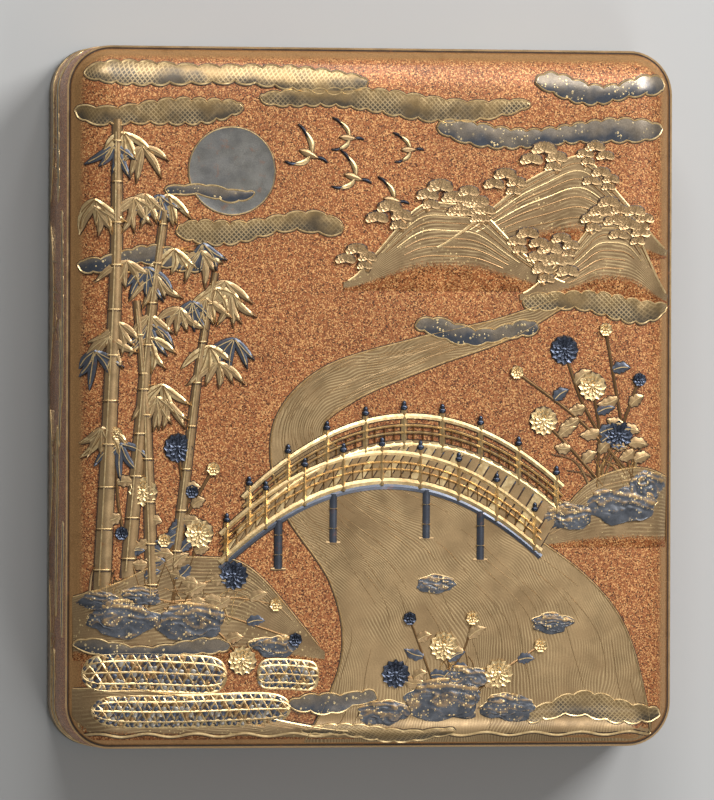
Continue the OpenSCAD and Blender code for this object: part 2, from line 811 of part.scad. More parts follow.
module ink_holder_ring() {
    color(bright_gold)
        along_y(holder_x, ring_y, holder_z)
            linear_extrude(ring_l)
                difference() {
                    rounded(holder_w + 2 * (ring_wall + cap_gap), holder_t + 2 * (ring_wall + cap_gap), 3.3);
                    rounded(holder_w + 2 * cap_gap, holder_t + 2 * cap_gap, 2.5 + cap_gap);
                }
}

module ink_stick() {
    color("#1E1D1F")
        along_y(holder_x, stick_y, holder_z)
            linear_extrude(stick_l) square([stick_w, stick_t - 2 * rest_gap], center = true);
}

// ---- the nodes ----

base_bottom();
base_walls();
base_rim();
lid_skirt();
lid_rim();
lid_panel();
lid_relief_gold();
lid_relief_silver();
lid_flowers_gold();
lid_flowers_silver();
centre_board();
inkstone();
dropper_bowl();
dropper_cover();
dropper_spout();
tray(-tray_x);  // left_tray
tray_rim(-tray_x);  // left_tray_rim
tray(tray_x);  // right_tray
tray_rim(tray_x);  // right_tray_rim
brush_handle(0);  // brush_1_handle
brush_ferrule(0);  // brush_1_ferrule
brush_hair(0);  // brush_1_hair
brush_cap(0);  // brush_1_cap
brush_handle(1);  // brush_2_handle
brush_ferrule(1);  // brush_2_ferrule
brush_hair(1);  // brush_2_hair
brush_cap(1);  // brush_2_cap
knife_handle();
knife_collar();
knife_blade();
knife_sheath();
awl_handle();
awl_collar();
awl_point();
awl_sheath();
ink_holder();
ink_holder_ring();
ink_stick();
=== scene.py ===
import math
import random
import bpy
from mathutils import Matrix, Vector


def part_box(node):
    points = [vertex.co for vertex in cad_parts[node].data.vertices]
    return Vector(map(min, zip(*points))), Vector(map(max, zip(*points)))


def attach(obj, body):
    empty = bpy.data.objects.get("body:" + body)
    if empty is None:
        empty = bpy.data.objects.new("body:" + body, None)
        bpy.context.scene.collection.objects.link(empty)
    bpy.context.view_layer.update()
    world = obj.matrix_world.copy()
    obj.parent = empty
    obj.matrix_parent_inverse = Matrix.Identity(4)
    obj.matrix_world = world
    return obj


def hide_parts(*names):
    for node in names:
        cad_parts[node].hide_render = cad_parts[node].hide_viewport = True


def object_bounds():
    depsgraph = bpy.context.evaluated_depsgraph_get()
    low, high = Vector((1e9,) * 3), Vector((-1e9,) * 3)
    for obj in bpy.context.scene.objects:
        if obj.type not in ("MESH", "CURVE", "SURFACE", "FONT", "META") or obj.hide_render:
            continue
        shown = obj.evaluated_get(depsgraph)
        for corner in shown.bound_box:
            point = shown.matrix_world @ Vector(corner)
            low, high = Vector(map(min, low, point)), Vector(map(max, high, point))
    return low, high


bl_info = {
    "name": "Lacquered writing box",
    "version": (1, 0, 0),
    "blender": (4, 5, 0),
    "location": "3D View > Sidebar > Writing box",
    "description": "A Japanese writing box with a crowned gold-lacquered lid, its case, trays and tools",
    "category": "Add Mesh",
}

import bmesh
import bpy
from mathutils import Matrix, Vector, noise

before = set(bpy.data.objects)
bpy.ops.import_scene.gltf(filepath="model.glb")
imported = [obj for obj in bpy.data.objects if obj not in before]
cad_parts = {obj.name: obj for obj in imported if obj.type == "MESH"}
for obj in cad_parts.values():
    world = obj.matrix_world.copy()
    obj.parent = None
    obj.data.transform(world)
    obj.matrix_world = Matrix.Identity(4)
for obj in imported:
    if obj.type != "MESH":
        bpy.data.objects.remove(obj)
cad_low, cad_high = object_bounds()

MM = 0.001  # shapes are worked out in millimetres and finished in metres
SEAT = -0.08  # how far a raised lacquer shape reaches below the face that carries it, mm
SHADE_H = 0.09  # height of the line of painted shade at a shape's foot, mm


# ---------------------------------------------------------------- colours


def linear(hex_code):
    """The linear colour, with alpha, of an sRGB hex value."""
    channels = [int(hex_code[i : i + 2], 16) / 255 for i in (1, 3, 5)]
    return (*[c / 12.92 if c <= 0.04045 else ((c + 0.055) / 1.055) ** 2.4 for c in channels], 1.0)


def colour(value):
    """The colour of an sRGB hex value or of a grey level; a colour or a socket stays as it is."""
    if isinstance(value, str):
        return linear(value)
    if isinstance(value, (int, float)):
        return (value, value, value, 1.0)
    return value


def swatch(name, description, hex_code):
    return bpy.props.FloatVectorProperty(
        name=name, description=description, subtype="COLOR", size=4, min=0, max=1, default=linear(hex_code)
    )


def length(name, description, mm):
    return bpy.props.FloatProperty(name=name, description=description, unit="LENGTH", default=mm * MM, min=0)


class WRITINGBOX_sizes(bpy.types.PropertyGroup):
    """Sizes of the dressed box that the frame doesn't give by itself."""

    corner_r: length("Corner radius", "Plan radius of the lid's corners", 16)
    skirt_t: length("Side thickness", "Thickness of the lid's side boards", 4)
    ledge_w: length("Ledge", "Width of the flat ledge around the crowned panel", 1.5)
    shoulder_w: length("Shoulder width", "Plan width of the lid's rounded shoulder", 14)
    shoulder_h: length("Shoulder height", "Rise of the rounded shoulder", 7.5)
    crown_h: length("Crown", "Further rise from the shoulder to the middle", 2.5)
    panel_t: length("Panel thickness", "Thickness of the crowned panel", 4)
    lid_gap: length("Lid gap", "Gap between the lid's sides and the case", 0.5)
    line_w: length("Drawn line", "Width of a raised gold line", 0.32)
    flake: length("Flake", "Size of a gold flake in the lacquer", 0.36)


class WRITINGBOX_colours(bpy.types.PropertyGroup):
    """Colours of the finishes."""

    ground: swatch("Ground", "Lacquer between the flakes", "#4E2C14")
    amber: swatch("Amber", "Flakes deep in the amber lacquer", "#A06034")
    flake_light: swatch("Light flakes", "Flakes near the surface", "#DCA468")
    edge_gold: swatch("Edge gold", "Smooth gold powder on the shoulders", "#C3935E")
    pale_gold: swatch("Pale gold", "Raised work in fine gold powder", "#B1946C")
    bright_gold: swatch("Bright gold", "Cut gold sheet and burnished lines", "#E6CB98")
    silver: swatch("Silver", "Raised work in silver powder", "#A09A90")
    blued: swatch("Blued silver", "Silver sheet tarnished blue-black", "#4C5260")
    pewter: swatch("Edging", "Metal edging strips", "#8C8679")
    slate: swatch("Slate", "The inkstone", "#45474D")
    copper: swatch("Copper", "Brown patina of the water dropper", "#8A6240")
    bamboo: swatch("Bamboo", "Brush handles", "#B8935A")
    floor: swatch("Floor", "The surface the box stands on", "#ABABAA")


def sizes():
    return bpy.context.scene.writing_box_sizes


def hues():
    return bpy.context.scene.writing_box_colours


def mm(name):
    """A size of the box in millimetres."""
    return getattr(sizes(), name) / MM


# ---------------------------------------------------------------- materials


def node(tree, kind, settings=None, inputs=None):
    """Adds a shader node with its settings; an input is a value, or a socket to link."""
    made = tree.nodes.new("ShaderNode" + kind)
    for key, value in (settings or {}).items():
        setattr(made, key, value)
    for key, value in (inputs or {}).items():
        if isinstance(value, bpy.types.NodeSocket):
            tree.links.new(value, made.inputs[key])
        else:
            made.inputs[key].default_value = value
    return made


def ramp(tree, factor, stops):
    """A colour ramp through (place, colour) stops."""
    made = node(tree, "ValToRGB", inputs={"Fac": factor})
    band = made.color_ramp
    while len(band.elements) < len(stops):
        band.elements.new(0.5)
    for element, (place, shade) in zip(band.elements, stops):
        element.position = place
        element.color = colour(shade)
    return made.outputs["Color"]


def mixed(tree, factor, a, b, blend="MIX"):
    settings = {"data_type": "RGBA", "blend_type": blend}
    return node(tree, "Mix", settings, {0: factor, 6: colour(a), 7: colour(b)}).outputs[2]


def times(tree, a, b):
    return mixed(tree, 1.0, a, b, "MULTIPLY")


def maths(tree, operation, a, b=0.0):
    return node(tree, "Math", {"operation": operation}, {0: a, 1: b}).outputs[0]


def new_finish(name, settings):
    """A material with one surface shader; returns it, its tree, the shader and the object coordinates."""
    made = bpy.data.materials.new(name)
    made.use_nodes = True
    tree = made.node_tree
    tree.nodes.clear()
    shader = node(tree, "BsdfPrincipled", inputs=settings)
    node(tree, "OutputMaterial", inputs={"Surface": shader.outputs[0]})
    where = node(tree, "TexCoord").outputs["Object"]
    return made, tree, shader, where


def per(mm_size):
    """Texture scale that repeats about every mm_size millimetres."""
    return 1 / (mm_size * MM)


def grain(tree, where, mm_size, detail=2.0, rough=0.5):
    """Cloudy grain about as coarse as mm_size millimetres."""
    pattern = {"Vector": where, "Scale": per(mm_size), "Detail": detail, "Roughness": rough}
    return node(tree, "TexNoise", inputs=pattern).outputs["Fac"]


def wander(tree, where, mm_size, low, high, detail=3.0, rough=0.5, start=0.3, stop=0.7):
    """A tone that wanders with the grain, low up to the level start and high from the level stop."""
    return ramp(tree, grain(tree, where, mm_size, detail, rough), [(start, low), (stop, high)])


def drawn_out(tree, where, scale):
    """Coordinates that stretch a grain into fibres, streaks or scratches."""
    return node(tree, "Mapping", inputs={"Vector": where, "Scale": scale}).outputs[0]


def bump(tree, shader, height, depth_mm, strength):
    made = node(tree, "Bump", inputs={"Height": height, "Distance": depth_mm * MM, "Strength": strength})
    tree.links.new(made.outputs["Normal"], shader.inputs["Normal"])


def surface(tree, shader, base, metallic=None, rough=None):
    """Links the patterns of a surface to its shader."""
    for name, pattern in (("Base Color", base), ("Metallic", metallic), ("Roughness", rough)):
        if pattern is not None:
            tree.links.new(pattern, shader.inputs[name])


def flake_colour(tree, where):
    """The flaked lacquer, where each cell is one gold flake and deeper ones are more amber: its
    colour, how far a place lies from its flake's middle, and a level of each flake's own."""
    c = hues()
    cells = node(tree, "TexVoronoi", inputs={"Vector": where, "Scale": 1 / sizes().flake})
    own = node(tree, "SeparateColor", inputs={"Color": cells.outputs["Color"]})
    stops = [(0.0, c.ground), (0.12, c.ground), (0.26, c.amber), (0.7, c.amber)]
    stops += [(0.86, c.flake_light), (1.0, c.flake_light)]
    drift = wander(tree, where, 34, 0.84, 1.04, stop=0.72)
    fine = wander(tree, where, 1.4, 0.84, 1.06, detail=2)
    shade = times(tree, times(tree, ramp(tree, own.outputs[0], stops), drift), fine)
    return shade, cells.outputs["Distance"], own.outputs[1]


def drawn_on(tree, name):
    """A piece's own attribute, filled when its shape is drawn."""
    return node(tree, "Attribute", {"attribute_name": name}).outputs["Fac"]


def edge_cover(tree, where, soft=0.16):
    """How far smooth gold covers the flakes: the gilding attribute, dusted at its edge."""
    dust = maths(tree, "MULTIPLY", grain(tree, where, 0.55, 3, 0.8), 0.9)
    return ramp(tree, maths(tree, "SUBTRACT", drawn_on(tree, "gilding"), dust), [(0.0, 0.0), (soft, 1.0)])


def strewn_specks(tree, where, mm_size, size):
    """Round flakes of several sizes strewn apart, as a mask."""
    cell = {"Vector": where, "Scale": per(mm_size), "Randomness": 1.0}
    spot = node(tree, "TexVoronoi", inputs=cell)
    own = node(tree, "SeparateColor", inputs={"Color": spot.outputs["Color"]})
    reach = maths(tree, "SUBTRACT", maths(tree, "MULTIPLY", own.outputs[0], size * 1.5), size * 0.4)
    return ramp(tree, maths(tree, "SUBTRACT", reach, spot.outputs["Distance"]), [(0.0, 0.0), (0.04, 1.0)])


def nashiji():
    # Nashiji: gold flakes about a third of a millimetre wide in amber lacquer, polished flat. It
    # glitters under a clear coat, with dark specks of ground between the flakes. Towards the panel's
    # edge it runs out into smooth gold powder, which mirrors the lamps softly.
    coat = {"Coat Weight": 0.3, "Coat Roughness": 0.14, "Coat IOR": 1.5}
    made, tree, shader, where = new_finish("nashiji_lacquer", coat)
    shade, gap, glint = flake_colour(tree, where)
    cover = edge_cover(tree, where)
    powder = wander(tree, where, 0.5, 0.66, 1.16, rough=0.8)
    rubbed = wander(tree, where, 9, 0.0, 0.6, detail=5, rough=0.7, start=0.55, stop=0.75)
    smooth_gold = mixed(tree, rubbed, times(tree, hues().edge_gold, powder), "#8A5E34")
    rough = ramp(tree, glint, [(0.0, 0.56), (1.0, 0.32)])
    surface(
        tree,
        shader,
        mixed(tree, cover, shade, smooth_gold),
        metallic=mixed(tree, cover, 0.3, 0.85),
        rough=mixed(tree, cover, rough, 0.35),
    )
    bump(tree, shader, mixed(tree, cover, gap, 0.3), 0.03, 0.45)
    return made


def gold_powder(name, shade, speck, low, high, metallic=0.85, sheen_mm=26):
    # Fine metal powder sprinkled on raised lacquer and lightly burnished: a satin metal with
    # faint clouding and rubbed places, finer than the flakes of the ground.
    satin = {"Metallic": metallic, "Coat Weight": 0.12, "Coat Roughness": 0.2}
    made, tree, shader, where = new_finish(name, satin)
    powder = wander(tree, where, 0.35, low, high, detail=2, rough=0.7, start=0.32)
    # The broad clouds, sheen_mm across, are painted sheen: in patches at random the colour drifts to the
    # speck colour.
    cloud = wander(tree, where, sheen_mm, 0.0, 0.6, detail=4, rough=0.6, start=0.35, stop=0.75)
    worn = wander(tree, where, 3.1, 0.0, 0.45, detail=6, rough=0.7, start=0.58, stop=0.72)
    base = mixed(tree, cloud, times(tree, shade, powder), speck)
    surface(tree, shader, mixed(tree, worn, base, hues().amber), rough=wander(tree, where, 5, 0.32, 0.48))
    bump(tree, shader, grain(tree, where, 0.5), 0.03, 0.6)
    return made


def diamond_lattice(tree, where, pitch_mm):
    """Lines of a diamond diaper, as a mask: two slanting directions in plan laid as a square grid."""
    slants = [
        node(tree, "VectorMath", {"operation": "DOT_PRODUCT"}, {0: where, 1: slant}).outputs["Value"]
        for slant in ((0.71, 0.71, 1.1), (0.71, -0.71, 0.25))
    ]
    turned_to = node(tree, "CombineXYZ", inputs={"X": slants[0], "Y": slants[1]}).outputs[0]
    cell = {"Vector": turned_to, "Scale": per(pitch_mm), "Randomness": 0.0}
    edge = node(tree, "TexVoronoi", {"feature": "DISTANCE_TO_EDGE", "voronoi_dimensions": "2D"}, cell)
    return ramp(tree, edge.outputs["Distance"], [(0.0, 1.0), (0.08, 1.0), (0.2, 0.0)])


def mist_metal(name, shade, low_shade, fleck, lattice=False):
    # Mist bands: powdered metal, dense along the upper edge and thinning to dark lacquer along the
    # lower. The gold bands carry a fine diamond diaper, the commonest filling of such bands; the
    # silver ones are strewn with round gold flakes.
    made, tree, shader, where = new_finish(name, {"Coat Weight": 0.2, "Coat Roughness": 0.2})
    powder = wander(tree, where, 0.4, 0.72, 1.14, detail=2, rough=0.7)
    cloud = maths(tree, "MULTIPLY", maths(tree, "SUBTRACT", grain(tree, where, 13, 3, 0.6), 0.5), 2.6)
    dusted = ramp(tree, maths(tree, "ADD", drawn_on(tree, "flow"), cloud), [(0.12, 0.0), (0.8, 1.0)])
    base = times(tree, mixed(tree, dusted, low_shade, shade), powder)
    if lattice:
        mark = diamond_lattice(tree, where, 1.25)
        strewn = wander(tree, where, 16, 0.0, 0.7, start=0.38, stop=0.58)
    else:
        mark = strewn_specks(tree, where, 1.1, 0.42)
        strewn = wander(tree, where, 9, 0.0, 1.0, rough=0.6, start=0.44, stop=0.54)
    mark = times(tree, mark, strewn)
    surface(
        tree,
        shader,
        mixed(tree, mark, base, fleck),
        metallic=mixed(tree, dusted, 0.45, 0.8),
        rough=wander(tree, where, 4, 0.3, 0.46),
    )
    bump(tree, shader, mark, 0.05, 0.6)
    return made


def drawn_lines(tree, where, pitch, sway, drift_mm):
    """Fine lines along the flow attribute (millimetres), in drifts that fade between them: how
    bright and how deep they are drawn."""
    bend = maths(tree, "MULTIPLY", grain(tree, where, 26, 1.5), sway)
    waver = maths(tree, "MULTIPLY", grain(tree, where, 5, 1), 0.6)
    across = maths(tree, "ADD", drawn_on(tree, "flow"), maths(tree, "ADD", bend, waver))
    line = maths(tree, "SINE", maths(tree, "MULTIPLY", across, 2 * math.pi / pitch))
    between = maths(tree, "MULTIPLY", line, -1.0)
    drift = wander(tree, where, drift_mm, 0.08, 1.0, rough=0.6, start=0.4, stop=0.58)
    bright = times(tree, ramp(tree, line, [(0.3, 0.0), (1.0, 0.6)]), drift)
    deep = times(tree, ramp(tree, between, [(0.5, 0.0), (1.0, 0.4)]), drift)
    return bright, deep


def drawn_water():
    # Water: satin gold powder under fine current lines, drawn close together in drifts and
    # left out between them.
    satin = {"Metallic": 0.72, "Coat Weight": 0.15, "Coat Roughness": 0.2}
    made, tree, shader, where = new_finish("drawn_water_gold", satin)
    bright, deep = drawn_lines(tree, where, 1.0, 13.0, 15)
    tone = wander(tree, where, 42, "#8C714E", "#B7996F", rough=0.6, start=0.32, stop=0.68)
    ground = times(tree, tone, wander(tree, where, 0.4, 0.86, 1.1, detail=2, rough=0.7))
    ground = mixed(tree, bright, mixed(tree, deep, ground, "#6E563A"), "#D6BC8C")
    base = mixed(tree, edge_cover(tree, where), flake_colour(tree, where)[0], ground)
    surface(tree, shader, base, rough=wander(tree, where, 6, 0.32, 0.48))
    bump(tree, shader, bright, 0.05, 0.5)
    return made


def drawn_land():
    # Hills and banks: gold powder sprinkled over the flakes, dense at the crest and thinning out
    # downwards, with fine contour lines drawn along the crest and round flakes strewn between.
    satin = {"Metallic": 0.7, "Coat Weight": 0.12, "Coat Roughness": 0.2}
    made, tree, shader, where = new_finish("sprinkled_gold_land", satin)
    bright, deep = drawn_lines(tree, where, 1.25, 5.0, 11)
    tone = wander(tree, where, 24, "#8A6F4E", "#A88C66", detail=4, rough=0.6, start=0.34)
    ground = times(tree, tone, wander(tree, where, 0.35, 0.8, 1.12, detail=2, rough=0.7, start=0.32))
    ground = mixed(tree, bright, mixed(tree, deep, ground, "#6B5235"), "#D9BE8C")
    patches = wander(tree, where, 8, 0.0, 0.9, rough=0.6, start=0.5, stop=0.6)
    specks = times(tree, strewn_specks(tree, where, 1.0, 0.4), patches)
    ground = mixed(tree, specks, ground, "#E4C88E")
    base = mixed(tree, edge_cover(tree, where), flake_colour(tree, where)[0], ground)
    surface(tree, shader, base, rough=wander(tree, where, 5, 0.32, 0.48))
    bump(tree, shader, mixed(tree, specks, bright, 1.0), 0.04, 0.5)
    return made


def dusted_rock():
    # Stones of raised lacquer: blue-grey silver powder in the hollows, gold powder and round gold
    # flakes gathering on the upper faces and the ridges.
    made, tree, shader, where = new_finish("dusted_rock", {"Coat Weight": 0.12, "Coat Roughness": 0.25})
    stone = wander(tree, where, 7, "#262A31", "#5C5F66", detail=4, rough=0.6)
    powder = wander(tree, where, 0.35, 0.8, 1.15, detail=2, rough=0.7)
    cover = edge_cover(tree, where, 0.75)
    near = ramp(tree, drawn_on(tree, "gilding"), [(0.05, 0.0), (0.6, 1.0)])
    specks = times(tree, strewn_specks(tree, where, 0.85, 0.46), near)
    base = mixed(tree, cover, times(tree, stone, powder), times(tree, "#B8935E", powder))
    surface(
        tree,
        shader,
        mixed(tree, specks, base, "#E2C48A"),
        metallic=mixed(tree, cover, 0.3, 0.75),
        rough=wander(tree, where, 3, 0.4, 0.58),
    )
    bump(tree, shader, specks, 0.06, 0.6)
    return made


def sheet_metal(name, shade, dull, smoothest, roughest, scratch_mm=0.5):
    # Cut sheet metal, engraved and hand-rubbed: bright on its high places, darker where
    # tarnish and old lacquer stay in the hollows.
    made, tree, shader, where = new_finish(name, {"Metallic": 0.92})
    tarnish = wander(tree, where, 2.6, 0.0, 0.8, detail=5, rough=0.65, start=0.38)
    rough = wander(tree, where, 1.2, smoothest, roughest, detail=4)
    surface(tree, shader, mixed(tree, tarnish, shade, dull), rough=rough)
    bump(tree, shader, grain(tree, where, scratch_mm, 3), 0.02, 0.5)
    return made


def honed_slate():
    # Fine-grained slate, honed: matt and nearly even, with faint cloudy bands and a few pale specks.
    # Old ink has dried black and a little glossy where the stone is hollowed.
    made, tree, shader, where = new_finish("honed_slate", {"IOR": 1.55})
    wave = {"Vector": where, "Scale": per(38), "Distortion": 7.0, "Detail": 3.0}
    band = node(tree, "TexWave", {"bands_direction": "DIAGONAL"}, wave).outputs["Fac"]
    specks = wander(tree, where, 0.5, 0.0, 0.5, detail=2, rough=0.8, start=0.7, stop=0.78)
    tone = mixed(tree, specks, ramp(tree, band, [(0.0, hues().slate), (1.0, "#3A3C42")]), "#7C7E82")
    ink = edge_cover(tree, where)
    rough = wander(tree, where, 9, 0.52, 0.7, detail=4)
    surface(tree, shader, mixed(tree, ink, tone, "#1B1B1F"), rough=mixed(tree, ink, rough, 0.36))
    bump(tree, shader, grain(tree, where, 0.7, 4, 0.7), 0.04, 0.5)
    return made


def smoked_bamboo():
    # Thin bamboo culm with its fibres along the handle, oiled by use.
    oiled = {"IOR": 1.5, "Roughness": 0.42, "Coat Weight": 0.25, "Coat Roughness": 0.25}
    made, tree, shader, where = new_finish("smoked_bamboo", oiled)
    fibre = grain(tree, drawn_out(tree, where, (1.0, 0.03, 1.0)), 0.5, 3, 0.7)
    surface(tree, shader, ramp(tree, fibre, [(0.3, "#8C6636"), (0.6, hues().bamboo), (0.8, "#CDAE78")]))
    bump(tree, shader, fibre, 0.05, 0.5)
    return made


def brush_hair():
    # Goat hair dressed to a point: fine streaks along the brush, dull.
    made, tree, shader, where = new_finish("goat_hair", {"Roughness": 0.75, "Sheen Weight": 0.2})
    streak = grain(tree, drawn_out(tree, where, (1.0, 0.02, 1.0)), 0.25, 2, 0.7)
    surface(tree, shader, ramp(tree, streak, [(0.3, "#A08C68"), (0.7, "#EADFC6")]))
    bump(tree, shader, streak, 0.12, 0.8)
    return made


def ground_steel():
    # Blade steel with the scratches of a whetstone running across it.
    made, tree, shader, where = new_finish("ground_steel", {"Metallic": 1.0})
    scratch = grain(tree, drawn_out(tree, where, (0.04, 1.0, 1.0)), 0.15, 2, 0.8)
    rough = ramp(tree, scratch, [(0.3, 0.25), (0.7, 0.42)])
    surface(tree, shader, ramp(tree, scratch, [(0.3, "#8F9398"), (0.7, "#C9CCD0")]), rough=rough)
    bump(tree, shader, scratch, 0.01, 0.5)
    return made


def soot_ink():
    # Pressed soot and glue, moulded: black with a low sheen and fine pits.
    made, tree, shader, where = new_finish("soot_ink", {"IOR": 1.5})
    rough = wander(tree, where, 1.5, 0.42, 0.62)
    surface(tree, shader, wander(tree, where, 6, "#17171A", "#26262B"), rough=rough)
    bump(tree, shader, grain(tree, where, 0.4, 3), 0.05, 0.5)
    return made


FINISH = {}


def finishes():
    """Makes each material once."""
    if not FINISH:
        c = hues()
        FINISH.update(
            nashiji=nashiji(),
            pale_gold=gold_powder("takamakie_pale_gold", c.pale_gold, "#A07E55", 0.82, 1.12),
            faded_gold=drawn_land(),
            old_gold=gold_powder("takamakie_old_gold", "#9A7850", "#7A5A38", 0.8, 1.1),
            silver=gold_powder("takamakie_silver", c.silver, "#76716B", 0.8, 1.12, 0.7),
            moon=gold_powder("moon_silver_leaf", "#86837C", "#5A5A5E", 0.72, 1.12, 0.75, sheen_mm=9),
            blued_powder=gold_powder("blued_silver_powder", "#565A64", "#343943", 0.8, 1.15, 0.7),
            # Dark lacquer colour laid as painted shade at the feet of raised work and in the gaps between
            # parts
            grime=gold_powder("shade_painted_lacquer", "#3B2616", "#2A1A10", 0.8, 1.1, 0.0),
            rock=dusted_rock(),
            water=drawn_water(),
            mist_gold=mist_metal("mist_gold_diapered", "#8F7650", "#4E4436", "#BCA276", lattice=True),
            mist_silver=mist_metal("mist_silver_strewn", "#85796A", "#3F434B", "#D8BF8C"),
            bright_gold=sheet_metal("kanagai_gold_sheet", c.bright_gold, "#B08C5A", 0.32, 0.5),
            blued=sheet_metal("kanagai_blued_silver", c.blued, "#2A2D34", 0.28, 0.44),
            pewter=sheet_metal("pewter_edging", c.pewter, "#5E594F", 0.3, 0.5, 0.9),
            copper=sheet_metal("patinated_copper", c.copper, "#4A3424", 0.3, 0.5, 1.6),
            slate=honed_slate(),
            bamboo=smoked_bamboo(),
            hair=brush_hair(),
            steel=ground_steel(),
            ink=soot_ink(),
        )
    return FINISH


# ---------------------------------------------------------------- shapes


def smooth(t):
    t = min(max(t, 0.0), 1.0)
    return t * t * (3 - 2 * t)


EDGE = 0.7  # raised work on the lid keeps this far inside the edge of the panel, mm
HEADROOM = 0.03  # and this far below the top of the CAD, mm


class LidFace:
    """The lid's outer face: where a place in plan lies on it, in millimetres."""

    def __init__(self):
        high = place_of("lid_skirt")[1]
        self.half_x = high.x - mm("ledge_w")
        self.half_y = high.y - mm("ledge_w")
        self.seat = high.z
        self.corner = mm("corner_r") - mm("ledge_w")
        self.width = mm("shoulder_w")
        self.rise = mm("shoulder_h")
        self.crown = mm("crown_h")
        self.round_r = (self.width**2 + self.rise**2) / (2 * self.rise)

    def inset(self, x, y):
        """How far a place lies in from the edge of the panel."""
        qx = abs(x) - self.half_x + self.corner
        qy = abs(y) - self.half_y + self.corner
        return self.corner - math.hypot(max(qx, 0), max(qy, 0)) - min(max(qx, qy), 0)

    def swell(self, x, y):
        """The rise of the crown over the shoulder."""
        return self.crown * (1 - (x / self.half_x) ** 2) * (1 - (y / self.half_y) ** 2)

    def height(self, x, y):
        d = min(max(self.inset(x, y), 0), self.width)
        k = self.round_r
        arc = math.sqrt(k * k - (self.width - d) ** 2) - (k - self.rise)
        return self.seat + arc + self.swell(x, y)

    def ceiling(self, x, y, band, dish):
        """The underside of the panel: flat across the band at its edge, then dished to follow it."""
        s = min(max((self.inset(x, y) - band) / dish, 0), 1)
        k = self.width / self.round_r
        base = math.sqrt(1 - k * k)
        arc = (math.sqrt(1 - k * k * (1 - s) ** 2) - base) / (1 - base)
        return self.seat + arc * (self.rise - mm("panel_t")) + s * self.swell(x, y)

    def lift(self, x, y, h):
        """The point h above the face, square to it. Work that would hang over the ledge is drawn in,
        and the highest work near the crown's middle is pressed down into the box."""
        over = EDGE - self.inset(x, y)
        if over > 0:
            x -= math.copysign(over, x) if self.half_x - abs(x) < self.corner else 0
            y -= math.copysign(over, y) if self.half_y - abs(y) < self.corner else 0
        e = 0.05  # the slope is taken over this, mm, to either side
        z = self.height(x, y)
        slope_x = (self.height(x + e, y) - self.height(x - e, y)) / (2 * e)
        slope_y = (self.height(x, y + e) - self.height(x, y - e)) / (2 * e)
        room = cad_high.z / MM - HEADROOM - z
        knee = 0.75 * room  # what stands above this shares the last quarter of the room
        if h > knee:
            h = knee + (room - knee) * (1 - math.exp((knee - h) / (room - knee)))
        return Vector((x, y, z)) + Vector((-slope_x, -slope_y, 1)).normalized() * h


class SideFace:
    """The lid's sides unrolled: the first place runs along them, the second is the height."""

    def __init__(self, face, inward):
        self.x = face.half_x + mm("ledge_w") - inward
        self.y = face.half_y + mm("ledge_w") - inward
        self.r = mm("corner_r") - inward
        self.runs = [2 * (self.x - self.r), 2 * (self.y - self.r)] * 2
        self.bend = math.pi / 2 * self.r
        self.around = sum(self.runs) + 4 * self.bend

    def lift(self, s, z, h):
        """Runs along the foot towards +X, then up the right, along the head and down the left."""
        s %= self.around
        centre = Vector((-self.x + self.r, -self.y + self.r, 0))
        for n, run in enumerate(self.runs):
            along = Vector((math.cos(n * math.pi / 2), math.sin(n * math.pi / 2), 0))
            out = Vector((along.y, -along.x, 0))
            if s < run:
                return centre + along * s + out * (self.r + h) + Vector((0, 0, z))
            s -= run
            centre += along * run
            if s < self.bend:
                turned = Matrix.Rotation(s / self.r, 3, "Z") @ out
                return centre + turned * (self.r + h) + Vector((0, 0, z))
            s -= self.bend


def finish_piece(name, bm, finish, body, replaces=(), sharp=32, turn_out=True):
    """Turns a millimetre bmesh into a finished object that rides on a body."""
    if turn_out:
        bmesh.ops.recalc_face_normals(bm, faces=bm.faces)
    bmesh.ops.scale(bm, vec=(MM, MM, MM), verts=bm.verts)
    mesh = bpy.data.meshes.new(name)
    bm.to_mesh(mesh)
    bm.free()
    mesh.shade_smooth()
    mesh.set_sharp_from_angle(angle=math.radians(sharp))
    mesh.materials.append(finishes()[finish])
    piece = bpy.data.objects.new(name, mesh)
    bpy.context.scene.collection.objects.link(piece)
    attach(piece, body)
    if replaces:
        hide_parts(*replaces)


def place_of(node_name):
    """The low and high corners of a CAD node, in millimetres."""
    low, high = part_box(node_name)
    return low / MM, high / MM


def curve_through(points):
    """A smooth path in plan through the points, from 0 to 1."""
    pts = [Vector(p) for p in points]
    pts = [2 * pts[0] - pts[1], *pts, 2 * pts[-1] - pts[-2]]
    spans = len(pts) - 3

    def at(u):
        k = min(int(max(u, 0) * spans), spans - 1)
        t = u * spans - k
        a, b, c, d = pts[k : k + 4]
        square, cube = 2 * a - 5 * b + 4 * c - d, 3 * b - a - 3 * c + d
        return 0.5 * (2 * b + (c - a) * t + square * t * t + cube * t**3)

    return at


def small_shape(kind, *size):
    """A shape of a few dozen faces that is stamped many times."""
    bm = bmesh.new()
    if kind == "bead":
        bmesh.ops.create_uvsphere(bm, u_segments=size[0], v_segments=size[1], radius=1)
    else:  # a petal: a spoon of length 1 with its rim raised and its tip round
        grid = bmesh.ops.create_grid(bm, x_segments=5, y_segments=4, size=0.5)["verts"]
        for v in grid:
            u, w = v.co.x + 0.5, v.co.y * 2
            tip = math.sqrt(max(1 - max((u - 0.66) / 0.34, 0) ** 2, 0.0))
            half = 0.5 * (0.3 + 0.7 * smooth(u / 0.7)) * max(tip, 0.12)
            v.co = Vector((0.08 + 0.92 * u, half * w, 0.45 + 0.25 * u + 0.3 * w * w + 0.12 * smooth(u)))
        made = bmesh.ops.extrude_face_region(bm, geom=list(bm.faces))["geom"]
        for v in (g for g in made if isinstance(g, bmesh.types.BMVert)):
            v.co.z = 0
        bmesh.ops.recalc_face_normals(bm, faces=bm.faces)
    mesh = bpy.data.meshes.new(kind)
    bm.to_mesh(mesh)
    bm.free()
    return mesh


